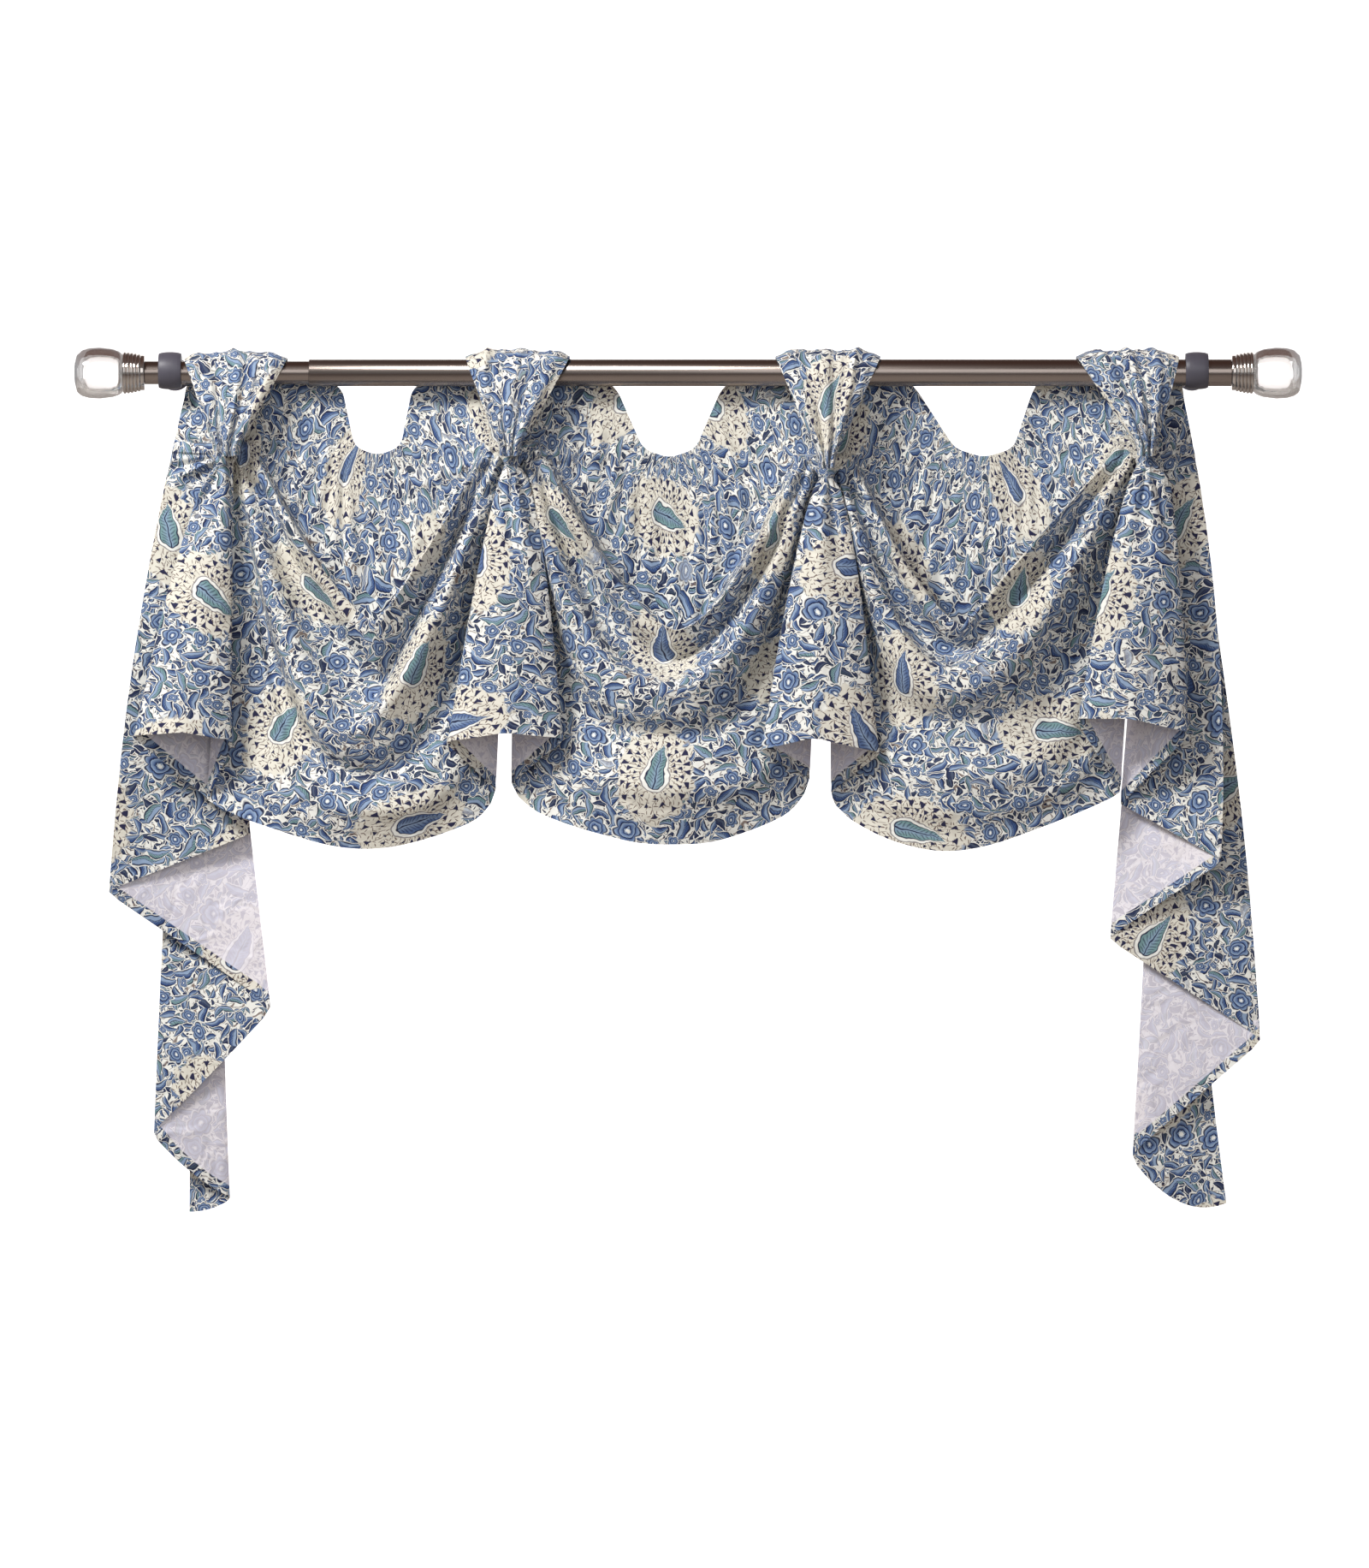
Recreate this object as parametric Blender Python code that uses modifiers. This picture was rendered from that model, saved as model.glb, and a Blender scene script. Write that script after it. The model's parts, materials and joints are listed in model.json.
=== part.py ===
"""A window swag: one printed cotton panel hung by four tabs from a curtain rod.

The panel is a single sheet. Between the tabs it falls in three swags, under each tab it
hangs as a box pleat, and at both ends it falls in a cascade that is folded back and forth.
The wall is the plane y = 0, the rod's axis lies in front of it at z = 0, and the origin is
on the wall behind the middle of the rod.

Lengths in the tables are millimetres. x runs along the rod, z upwards from its axis, and
d, or depth, is the distance in front of the rod's axis.
"""

import math
from collections import namedtuple

import bmesh
import bpy
import numpy as np

MM = 0.001

# Rod and brackets
ROD_TO_WALL = 75.0
OUTER_RADIUS = 11.1
INNER_RADIUS = 9.5
OUTER_SPAN = (-310.8, 445.0)
INNER_LEFT = -445.0
SOCKET_DEPTH = 120.0
GAP = 0.3
ROUND_STEPS = 28
CUP_WIDTH = 18.6
CUP_CENTRES = (-424.6, 416.8)
CUP_RADIUS = 15.4
CUP_EDGE_RADIUS = 14.3
CUP_RISE = 1.7
ARM_RADIUS = 5.0
PLATE_RADIUS = 13.5
PLATE_THICKNESS = 4.0
ARM_SIDES, PLATE_SIDES = 20, 36

# Cloth
PANEL_THICKNESS = 1.2
PANEL_TRIANGLES = 3700
TAB_THICKNESS = 1.6
PANEL_TOP_DROP = 1.1
PANEL_BACK_DEPTH = -13.0
FLUTE_DEPTH = 3.0
FLUTE_PITCH = 78.0

# Columns and rows of the sheet's grids
BACK_STEPS = (2, 3, 3)
FOLD_STEPS = (3, 3, 3, 4, 4, 4)
SIDE_COLUMNS = 10
HEM_COLUMNS = 16
RETURN_COLUMNS = 2
FRONT_COLUMNS = 2
LAYER_COLUMNS = 5

Tab = namedtuple(
    "Tab", "x z top_left top_right tip_left tip_right left_bow right_bow back_left back_right radius"
)
TABS = (
    Tab(-379, -61, -412.5, -329.0, -388.0, -367.0, 1.0, 1.05, -400.0, -325.0, INNER_RADIUS),
    Tab(-144, -61, -182.3, -97.3, -154.0, -138.0, 1.05, 1.05, -186.0, -93.0, OUTER_RADIUS),
    Tab(113, -71, 71.7, 157.4, 107.0, 119.0, 1.0, 1.0, 60.0, 160.0, OUTER_RADIUS),
    Tab(374, -61, 318.5, 401.8, 367.5, 382.0, 1.0, 1.1, 302.0, 397.0, OUTER_RADIUS),
)

# Where the middle and the two edges of a tab run, from its back end over the rod to its tip
Station = namedtuple("Station", "edge_d edge_z middle_d middle_z")
TAB_OVER_ROD = (
    Station(-15.6, -10.0, -15.6, -10.0),
    Station(-15.7, 2.0, -15.7, 2.0),
    Station(-15.3, 9.4, -15.8, 10.0),
    Station(-12.2, 12.4, -12.6, 14.0),
    Station(-6.0, 12.9, -6.0, 16.2),
    Station(0.0, 12.3, 0.0, 16.7),
    Station(6.4, 11.0, 7.5, 14.6),
    Station(11.2, 6.4, 13.2, 8.6),
    Station(13.4, -0.5, 16.0, 0.0),
)
TAB_CORNER_ROW = 5
TAB_TIP_DEPTH = 25.5
TAB_TIP_DROP = 7.0
TAB_CREASES = 3
TAB_CREASE_DEPTH = 2.0
TAB_ROUNDING = 3.0
TAB_TIP_SAG = 1.5
TAB_FRONT_ROWS = (0.25, 0.5, 0.72, 0.88, 1.0)
TAB_COLUMNS = 12

# Folds that start at a knot and sag across a swag: where they start and how deep they lie
Fold = namedtuple("Fold", "start_x start_z start_d side_d bottom_d")
FOLDS = (
    Fold(24.0, 4.0, 4.0, -4.0, -8.0),
    Fold(19.0, 0.0, 11.0, 24.0, 22.0),
    Fold(15.0, -3.5, 9.0, 9.0, 10.0),
    Fold(11.5, -7.0, 12.0, 24.0, 32.0),
    Fold(8.0, -10.5, 5.5, 1.0, 20.0),
    Fold(5.0, -13.5, 2.0, -4.0, 27.0),
)
# On the outer side of the first and last knot the folds flatten into the cascade
CASCADE_START_DEPTHS = (2.0, 4.0, 5.0, 5.0, 5.0, 4.0)
PINCH_X, PINCH_DROP, PINCH_DEPTH = 2.5, 16.5, 3.0
PINCH_LEFT_BACK = 2.0

# The lowest point of each of those folds, and how steeply its two sides climb
Dip = namedtuple("Dip", "x z left_power right_power")
SWAGS = (
    (
        Dip(-254.0, -222.0, 1.25, 1.25),
        Dip(-255.5, -204.4, 1.4, 1.1),
        Dip(-255.0, -262.0, 1.4, 1.1),
        Dip(-272.0, -296.0, 2.2, 1.4),
        Dip(-262.0, -329.0, 3.0, 2.5),
        Dip(-262.0, -357.0, 4.0, 4.0),
    ),
    (
        Dip(-10.0, -224.0, 1.25, 1.25),
        Dip(-9.8, -212.0, 1.5, 1.6),
        Dip(-20.0, -238.0, 1.8, 1.8),
        Dip(-27.0, -261.0, 2.4, 2.3),
        Dip(-20.0, -297.5, 4.5, 3.0),
        Dip(-17.0, -339.5, 6.0, 6.0),
    ),
    (
        Dip(225.0, -225.0, 1.25, 1.25),
        Dip(224.7, -208.0, 1.5, 0.95),
        Dip(217.7, -229.0, 1.9, 1.2),
        Dip(215.6, -250.0, 2.2, 1.6),
        Dip(224.0, -290.5, 4.0, 2.5),
        Dip(225.0, -339.5, 5.0, 5.0),
    ),
)

# Each swag's hem between its two corners, as x and z
HEMS = (
    (
        (-374.0, -362.0), (-325.0, -378.5), (-288.0, -389.0),
        (-250.0, -390.5), (-210.0, -381.0), (-166.0, -364.0),
    ),
    (
        (-135.0, -355.6), (-95.0, -371.7), (-38.5, -386.4),
        (18.0, -386.0), (66.0, -369.6), (91.0, -356.0),
    ),
    (
        (121.8, -359.8), (163.0, -383.0), (207.0, -393.5),
        (246.0, -388.0), (301.0, -368.0), (345.0, -350.0),
    ),
)
HEM_SOFTENING = 20.0
HEM_MIDDLE_DEPTH = 16.0
HEM_BULGE_POWER = 0.8

# The opening under the rod between two tabs: its edges at the rod and at its foot
Opening = namedtuple("Opening", "left_top left_foot right_foot right_top bottom")
OPENING_SOFTENING = 8.0
OPENINGS = (
    Opening(-284.0, -274.0, -236.0, -226.5, -65.5),
    Opening(-58.8, -37.0, 6.0, 27.5, -67.5),
    Opening(187.0, 219.0, 267.0, 283.5, -67.0),
)

# A box pleat's front: its two edges under the knot and at the hem, and the folds behind it
Pleat = namedtuple(
    "Pleat",
    "left_start right_start left_x left_z left_bow middle_x middle_z right_x right_z right_bow",
)
PLEATS = (
    Pleat(-387.0, -372.5, -453.6, -298.0, 0.70, -412.0, -295.0, -372.4, -302.0, 1.0),
    Pleat(-150.5, -137.5, -197.4, -303.0, 0.78, -149.8, -295.4, -101.5, -300.0, 0.54),
    Pleat(107.0, 119.5, 58.8, -309.4, 0.72, 102.0, -299.6, 156.8, -311.5, 0.60),
    Pleat(366.5, 388.0, 317.8, -284.0, 0.74, 361.0, -284.0, 410.0, -295.4, 0.45),
)
PLEAT_EDGE_DEPTH = (15.0, 27.0)
PLEAT_MIDDLE_DEPTH = (20.0, 44.0)
# A shoulder between edge and middle: its share of the way across and of the way forward
SHOULDER_ACROSS, SHOULDER_FORWARD = 0.42, 0.72

# The folds behind a pleat, where its returns meet the sheet on either side
Back = namedtuple("Back", "left_x left_z left_d left_dip right_x right_z right_d right_dip")
BACKS = (
    Back(-359.8, -378.0, -10.0, 6.0, -394.0, -350.0, 6.0, -2.0),
    Back(-158.2, -341.0, -10.0, -4.0, -144.9, -336.0, -10.0, -4.0),
    Back(99.4, -332.0, -10.0, -7.0, 117.6, -343.0, -10.0, -4.0),
    Back(354.0, -343.7, -3.0, -4.0, 355.6, -353.5, -13.0, -4.0),
)

# A cascade's folds from the pleat outwards: top, a point midway and the hem, and the layer
# that each fold ends, with how far that layer dips back and how far its hem sags
Layer = namedtuple(
    "Layer", "top_x top_d top_z mid_x mid_d mid_z hem_x hem_d hem_z dip sag"
)
LEFT_CASCADE = (
    Layer(-411.0, -13.0, -9.0, -451.5, -3.0, -210.0, -475.6, 2.0, -425.0, 5.0, 0.0),
    Layer(-395.0, -19.0, -17.0, -372.0, -23.0, -260.0, -342.3, -26.0, -520.0, 6.0, 0.0),
    Layer(-410.0, -24.0, -18.0, -425.0, -25.0, -300.0, -440.0, -25.0, -623.0, 0.0, 2.0),
    Layer(-398.0, -30.0, -18.0, -388.0, -33.0, -330.0, -376.6, -37.0, -677.6, 0.0, 6.0),
    Layer(-406.0, -35.0, -18.0, -408.0, -40.0, -340.0, -411.0, -46.0, -689.5, 0.0, 3.0),
)
RIGHT_CASCADE = (
    Layer(404.5, -13.0, -9.0, 434.0, -3.0, -200.0, 437.5, 2.0, -400.0, 2.0, 0.0),
    Layer(388.0, -19.0, -17.0, 366.0, -23.0, -240.0, 345.8, -26.0, -464.0, 4.0, 0.0),
    Layer(402.0, -24.0, -18.0, 447.3, -25.0, -292.0, 471.8, -25.0, -547.4, 0.0, 0.0),
    Layer(390.0, -30.0, -18.0, 378.0, -34.0, -400.0, 364.7, -37.0, -642.6, 0.0, 0.0),
    Layer(398.0, -35.0, -18.0, 415.0, -41.0, -420.0, 443.8, -46.0, -682.5, 0.0, 18.0),
)
# Shares of a cascade's height that lie beside the flat back and beside the knot
CASCADE_BACK, CASCADE_FAN = 0.11, 0.19
# How round the folds are at the top and at the hem, and how late a hem starts to sag
TOP_TURN, HEM_TURN = 2.5, 7.0
SAG_POWER = 8

# Finials, as distance from the rod's end and radius
COLLAR_STEPS, GLASS_STEPS = 20, 24
COLLAR_PROFILE = (
    (0.3, 9.2), (0.3, 14.4), (3.2, 14.4), (3.2, 13.9), (4.6, 15.2), (6.2, 14.5), (7.8, 15.9),
    (9.4, 15.1), (11.0, 16.6), (12.6, 15.7), (14.2, 17.1), (15.8, 16.2), (17.0, 17.4), (18.0, 17.0),
    (18.0, 9.2),
)
GLASS_PROFILE = (
    (18.3, 0.0), (18.3, 16.4), (21.2, 18.2), (26.0, 20.0), (37.0, 21.4), (46.0, 20.9),
    (52.0, 19.2), (55.8, 16.4), (57.6, 12.4), (58.0, 7.0), (58.0, 0.0),
)

LOOKS = {
    "cloth": ((0.80, 0.79, 0.72), 0.85, 0.0),
    "tab": ((0.62, 0.66, 0.74), 0.85, 0.0),
    "steel": ((0.55, 0.50, 0.47), 0.25, 1.0),
    "collar": ((0.42, 0.37, 0.35), 0.25, 1.0),
    "glass": ((0.92, 0.93, 0.92), 0.05, 0.0),
    "grey": ((0.16, 0.16, 0.19), 0.60, 0.0),
}


def smooth_step(t):
    t = np.clip(t, 0, 1)
    return t * t * (3 - 2 * t)


def mix(a, b, t):
    return a + (b - a) * t


def spline_rows(controls, steps):
    """Rows through the control rows, smooth across them, steps[i] of them from row i to i + 1."""
    controls = np.asarray(controls, float)
    chord = np.linalg.norm(np.diff(controls, axis=0), axis=2, keepdims=True).clip(1e-6)
    slope = np.diff(controls, axis=0) / chord
    tangent = np.empty_like(controls)
    tangent[0], tangent[-1] = slope[0], slope[-1]
    tangent[1:-1] = (slope[:-1] * chord[1:] + slope[1:] * chord[:-1]) / (chord[:-1] + chord[1:])
    rows = [controls[:1]]
    for i, count in enumerate(steps):
        t = np.linspace(0, 1, count + 1)[1:, None, None]
        rows.append(
            (2 * t**3 - 3 * t**2 + 1) * controls[i]
            + (t**3 - 2 * t**2 + t) * chord[i] * tangent[i]
            + (3 * t**2 - 2 * t**3) * controls[i + 1]
            + (t**3 - t**2) * chord[i] * tangent[i + 1]
        )
    return np.concatenate(rows)


def rounded(corners, places, turn):
    """The polyline through the corners, averaged over turn either way, at the given places."""
    legs = np.linalg.norm(np.diff(corners, axis=0), axis=1)
    reach = np.concatenate([[0], np.cumsum(legs)])
    fine = np.linspace(0, reach[-1], 500)
    line = np.stack([np.interp(fine, reach, corners[:, k]) for k in range(3)], axis=1)
    step = fine[1] - fine[0]
    area = np.concatenate([[np.zeros(3)], np.cumsum((line[1:] + line[:-1]) / 2 * step, axis=0)])
    at = np.asarray(places) * reach[-1]
    half = np.minimum(turn, np.minimum(at, reach[-1] - at))
    end = half < 1e-6
    half = np.where(end, 1.0, half)
    out = np.empty((len(at), 3))
    for k in range(3):
        spread = np.interp(at + half, fine, area[:, k]) - np.interp(at - half, fine, area[:, k])
        out[:, k] = np.where(end, np.interp(at, reach, corners[:, k]), spread / (2 * half))
    return out


def soft_row(corners, counts, turn):
    """A row of points along the corners, counts[i] steps in each leg, its turns rounded."""
    corners = np.asarray(corners, float)
    legs = np.linalg.norm(np.diff(corners, axis=0), axis=1)
    turn = min(turn, 0.42 * legs.min())
    for _ in range(2):
        reach = np.concatenate([[0], np.cumsum(legs)])
        met = rounded(corners, reach / reach[-1], turn)
        pushed = corners + 0.5 * (corners - met)
        pushed[0], pushed[-1] = corners[0], corners[-1]
        legs = np.linalg.norm(np.diff(pushed, axis=0), axis=1)
    reach = np.concatenate([[0], np.cumsum(legs)]) / legs.sum()
    places = [np.array([0.0])]
    for i, count in enumerate(counts):
        places.append(np.linspace(reach[i], reach[i + 1], count + 1)[1:])
    return rounded(pushed, np.concatenate(places), turn)


def lengths_along(line):
    """How far along the line each of its points is, as a share of its length."""
    reach = np.concatenate([[0], np.cumsum(np.linalg.norm(np.diff(line, axis=0), axis=1))])
    return reach / reach[-1]


def panel_top(tab):
    return tab.radius - PANEL_TOP_DROP


def knot_side(number, side):
    """The points where the folds leave a knot on one side (-1 left, 1 right), from the top edge down."""
    tab = TABS[number]
    edge_x = tab.back_left if side < 0 else tab.back_right
    top = np.array([edge_x, PANEL_BACK_DEPTH, panel_top(tab)])
    depths = [fold.start_d for fold in FOLDS]
    if (number, side) in ((0, -1), (len(TABS) - 1, 1)):
        depths = CASCADE_START_DEPTHS
    folds = [
        np.array([tab.x + side * fold.start_x, depth, tab.z + fold.start_z])
        for fold, depth in zip(FOLDS, depths)
    ]
    return [top, *back_points(top, folds[0], 0.0), *folds, pinch(number, side)]


def back_points(top, valley, flute):
    """Two points between the top edge and the uppermost fold, held back behind the rod."""
    upper, lower = mix(top, valley, 0.25), mix(top, valley, 0.60)
    upper[1] = PANEL_BACK_DEPTH + 0.4 + 0.3 * flute
    lower[1] = mix(PANEL_BACK_DEPTH, valley[1], 0.30) + flute
    return upper, lower


def pinch(number, side):
    """Where a pleat's back fold leaves the knot."""
    tab = TABS[number]
    depth = PINCH_DEPTH if side > 0 else PINCH_DEPTH - PINCH_LEFT_BACK
    return np.array([tab.x + side * PINCH_X, depth, tab.z - PINCH_DROP])


def back_fold(number, side, down):
    """The back fold of a pleat from the knot to the hem, at the shares of its height."""
    start, back = pinch(number, side), BACKS[number]
    if side < 0:
        foot = np.array([back.left_x, back.left_d, back.left_z])
    else:
        foot = np.array([back.right_x, back.right_d, back.right_z])
    line = mix(start, foot, np.asarray(down)[:, None])
    line[:, 1] = mix(start[1], foot[1], 1 - (1 - np.asarray(down)) ** 2)
    return line


def sagging_fold(start, end, dip, fold, places):
    """A fold that sags from one knot to the next through its lowest point."""
    half = np.linspace(0, 1, 240)
    sides = []
    for tip, power in ((start, dip.left_power), (end, dip.right_power)):
        x = mix(dip.x, tip[0], half)
        z = tip[2] + (dip.z - tip[2]) * (1 - half**power)
        sides.append(np.stack([x, z], axis=1))
    line = np.concatenate([sides[0][::-1], sides[1][1:]])
    reach = lengths_along(line)
    bottom = reach[len(half) - 1]
    away = np.where(places < bottom, (bottom - places) / bottom, (places - bottom) / (1 - bottom))
    depth = np.where(
        away < 0.5,
        mix(fold.bottom_d, fold.side_d, smooth_step(away * 2)),
        mix(fold.side_d, fold.start_d, smooth_step(away * 2 - 1)),
    )
    x, z = (np.interp(places, reach, line[:, k]) for k in range(2))
    return np.stack([x, depth, z], axis=1)


def swag_edge(number):
    """The lower edge of a swag's grid: down one back fold, along the hem and up the next."""
    down = np.linspace(0, 1, SIDE_COLUMNS + 1)
    left, right = back_fold(number, 1, down), back_fold(number + 1, -1, down)
    corners = [left[-1], *[(x, 0.0, z) for x, z in HEMS[number]], right[-1]]
    corners = np.array([tuple(corner) for corner in corners])
    share = lengths_along(corners[:, [0, 2]])
    bulge = np.sin(math.pi * share) ** HEM_BULGE_POWER
    ends = mix(left[-1][1], right[-1][1], share)
    corners[:, 1] = mix(ends, HEM_MIDDLE_DEPTH, bulge)
    places = np.linspace(0, 1, HEM_COLUMNS + 1)
    hem = rounded(corners, places, HEM_SOFTENING)
    return np.concatenate([left[:-1], hem, right[::-1][1:]])


def top_edge(number, places):
    """The panel's top edge from one tab down under the rod and up to the next."""
    left, right, cut = TABS[number], TABS[number + 1], OPENINGS[number]
    under = -(OUTER_RADIUS + PANEL_TOP_DROP)
    foot = mix(under, cut.bottom, 0.9)
    middle = (cut.left_foot + cut.right_foot) / 2
    corners = [
        (left.back_right, PANEL_BACK_DEPTH, panel_top(left)),
        (cut.left_top, PANEL_BACK_DEPTH, under),
        (cut.left_foot, PANEL_BACK_DEPTH, foot),
        (middle, PANEL_BACK_DEPTH, cut.bottom - 2.0),
        (cut.right_foot, PANEL_BACK_DEPTH, foot),
        (cut.right_top, PANEL_BACK_DEPTH, under),
        (right.back_left, PANEL_BACK_DEPTH, panel_top(right)),
    ]
    return rounded(np.array(corners, float), places, OPENING_SOFTENING)


def swag_grid(number):
    """One swag with the flat part of the panel above it, from the top edge to the hem."""
    edge = swag_edge(number)
    places = lengths_along(edge)
    starts, ends = knot_side(number, 1), knot_side(number + 1, -1)
    first_fold = len(BACK_STEPS)
    folds = [
        sagging_fold(starts[first_fold + i], ends[first_fold + i], dip, FOLDS[i], places)
        for i, dip in enumerate(SWAGS[number])
    ]
    top = top_edge(number, places)
    window = np.sin(math.pi * places)
    flutes = FLUTE_DEPTH * window * np.sin(2 * math.pi * top[:, 0] / FLUTE_PITCH + number)
    upper, lower = np.empty_like(top), np.empty_like(top)
    for i, flute in enumerate(flutes):
        upper[i], lower[i] = back_points(top[i], folds[0][i], flute)
    return spline_rows([top, upper, lower, *folds, edge], BACK_STEPS + FOLD_STEPS)


def knot_columns(number):
    """Both side columns of a knot's grid, from the panel's top edge down to the pinch."""
    steps = BACK_STEPS + FOLD_STEPS
    return [
        spline_rows([point[None] for point in knot_side(number, side)], steps)[:, 0] for side in (-1, 1)
    ]


def pleat_corners(number, down):
    """The two edges and the middle of a pleat's front at a share of its height."""
    tab, pleat = TABS[number], PLEATS[number]
    start_z = tab.z - PINCH_DROP
    edge_d, middle_d = mix(*PLEAT_EDGE_DEPTH, down), mix(*PLEAT_MIDDLE_DEPTH, down)
    middle_start = (pleat.left_start + pleat.right_start) / 2
    left = (
        mix(pleat.left_start, pleat.left_x, down**pleat.left_bow),
        edge_d,
        mix(start_z, pleat.left_z, down),
    )
    middle = (mix(middle_start, pleat.middle_x, down), middle_d, mix(start_z, pleat.middle_z, down))
    right = (
        mix(pleat.right_start, pleat.right_x, down**pleat.right_bow),
        edge_d,
        mix(start_z, pleat.right_z, down),
    )
    return np.array(left), np.array(middle), np.array(right)


def pleat_row(left, right, front, dips, turn):
    """A row across a box pleat: back fold, return, front, return, back fold."""
    left_edge, middle, right_edge = front
    shoulders = []
    for edge in (left_edge, right_edge):
        shoulder = mix(edge, middle, SHOULDER_ACROSS)
        shoulder[1] = mix(edge[1], middle[1], SHOULDER_FORWARD)
        shoulders.append(shoulder)
    returns = []
    for fold, edge, dip in ((left, left_edge, dips[0]), (right, right_edge, dips[1])):
        point = mix(edge, fold, 0.5)
        point[1] -= dip
        returns.append(point)
    corners = [
        left, returns[0], left_edge, shoulders[0], middle,
        shoulders[1], right_edge, returns[1], right,
    ]
    counts = (RETURN_COLUMNS,) * 2 + (FRONT_COLUMNS,) * 4 + (RETURN_COLUMNS,) * 2
    return soft_row(corners, counts, turn)


def knot_grid(number):
    """The panel behind a tab: flat at its top edge, gathered to a small box pleat at the pinch."""
    left, right = knot_columns(number)
    first = sum(BACK_STEPS)
    last = len(left) - 1
    front = pleat_corners(number, 0.0)
    rows = []
    for i in range(len(left)):
        gathered = smooth_step((i - first) / (last - first))
        flat = [mix(left[i], right[i], share) for share in (0.25, 0.5, 0.75)]
        corners = [mix(a, b, gathered) for a, b in zip(flat, front)]
        rows.append(pleat_row(left[i], right[i], corners, (0.0, 0.0), TOP_TURN))
    return np.array(rows)


def pleat_grid(number):
    """The box pleat that hangs under a tab."""
    down = np.linspace(0, 1, SIDE_COLUMNS + 1)
    left, right = back_fold(number, -1, down), back_fold(number, 1, down)
    back = BACKS[number]
    rows = []
    for i, share in enumerate(down):
        front = pleat_corners(number, share)
        dips = (back.left_dip * share, back.right_dip * share)
        turn = mix(TOP_TURN, HEM_TURN, share)
        rows.append(pleat_row(left[i], right[i], front, dips, turn))
    return np.array(rows)


def through_three(top, mid, hem, down):
    """A smooth line by height through a fold's top, midway point and hem."""
    place = (mid[2] - top[2]) / (hem[2] - top[2])
    from_top = (down - place) * (down - 1) / place
    from_mid = down * (down - 1) / (place * (place - 1))
    from_hem = down * (down - place) / (1 - place)
    return from_top * top + from_mid * mid + from_hem * hem


def cascade_grid(number, side, layers):
    """The folded end of the panel, outwards from the knot and pleat beside it."""
    column = knot_columns(number)[0 if side < 0 else 1]
    down = np.linspace(0, 1, SIDE_COLUMNS + 1)
    inner = np.concatenate([column, back_fold(number, side, down)[1:]])
    beside_back = np.linspace(0, CASCADE_BACK, sum(BACK_STEPS) + 1)
    beside_folds = np.linspace(CASCADE_BACK, CASCADE_FAN, sum(FOLD_STEPS) + 1)
    heights = np.concatenate([beside_back, beside_folds[1:], mix(CASCADE_FAN, 1.0, down[1:])])
    rows = []
    for point, share in zip(inner, heights):
        corners = [point]
        for layer in layers:
            top = np.array([layer.top_x, layer.top_d, layer.top_z])
            mid = np.array([layer.mid_x, layer.mid_d, layer.mid_z])
            hem = np.array([layer.hem_x, layer.hem_d, layer.hem_z])
            corners.append(through_three(top, mid, hem, share))
        counts = (LAYER_COLUMNS,) * len(layers)
        row = soft_row(corners, counts, mix(TOP_TURN, HEM_TURN, share))
        within = np.linspace(0, 1, LAYER_COLUMNS + 1)
        bow = 4 * within * (1 - within)
        for i, layer in enumerate(layers):
            leg = slice(i * LAYER_COLUMNS, (i + 1) * LAYER_COLUMNS + 1)
            row[leg, 1] -= layer.dip * share * bow
            row[leg, 2] -= layer.sag * share**SAG_POWER * bow
        rows.append(row)
    return np.array(rows)


def to_world(points):
    """Table millimetres (x, depth, z) as metres in front of the wall."""
    x, depth, z = np.asarray(points).T
    return np.stack([x, -(ROD_TO_WALL + depth), z], axis=1) * MM


def sheet_mesh(name, grids):
    """One mesh of the grids, with the points on their shared edges made one."""
    points, faces = [], []
    for grid in grids:
        rows, columns = grid.shape[:2]
        base = len(points)
        points.extend(to_world(grid.reshape(-1, 3)))
        for r in range(rows - 1):
            for c in range(columns - 1):
                corner = base + r * columns + c
                faces.append((corner, corner + columns, corner + columns + 1, corner + 1))
    mesh = bpy.data.meshes.new(name)
    mesh.from_pydata([tuple(point) for point in points], [], faces)
    work = bmesh.new()
    work.from_mesh(mesh)
    bmesh.ops.remove_doubles(work, verts=work.verts, dist=0.02 * MM)
    work.to_mesh(mesh)
    work.free()
    return mesh


def material(name):
    found = bpy.data.materials.get(name)
    if found:
        return found
    colour, roughness, metallic = LOOKS[name]
    made = bpy.data.materials.new(name)
    made.use_nodes = True
    shader = made.node_tree.nodes["Principled BSDF"]
    shader.inputs["Base Color"].default_value = (*colour, 1)
    shader.inputs["Roughness"].default_value = roughness
    shader.inputs["Metallic"].default_value = metallic
    return made


def place(name, mesh, look, collection):
    obj = bpy.data.objects.new(name, mesh)
    mesh.materials.append(material(look))
    collection.objects.link(obj)
    return obj


def add_panel(collection):
    """The whole printed panel as one folded sheet."""
    grids = [knot_grid(i) for i in range(len(TABS))]
    grids += [pleat_grid(i) for i in range(len(TABS))]
    grids += [swag_grid(i) for i in range(len(SWAGS))]
    grids.append(cascade_grid(0, -1, LEFT_CASCADE)[:, ::-1])
    grids.append(cascade_grid(len(TABS) - 1, 1, RIGHT_CASCADE))
    mesh = sheet_mesh("swag_panel", grids)
    panel = place("swag_panel", mesh, "cloth", collection)
    thin = panel.modifiers.new("fewer faces", "DECIMATE")
    thin.ratio = min(1.0, PANEL_TRIANGLES / (2 * len(mesh.polygons)))
    thick = panel.modifiers.new("cloth", "SOLIDIFY")
    thick.thickness = PANEL_THICKNESS * MM
    thick.offset = 0
    return panel


def narrowed(tab, z):
    """How far a tab has narrowed at a height, from its corners on the rod (0) to its knot (1)."""
    corner = TAB_OVER_ROD[TAB_CORNER_ROW].edge_z
    return min(1.0, (corner - z) / (corner - tab.z))


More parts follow.
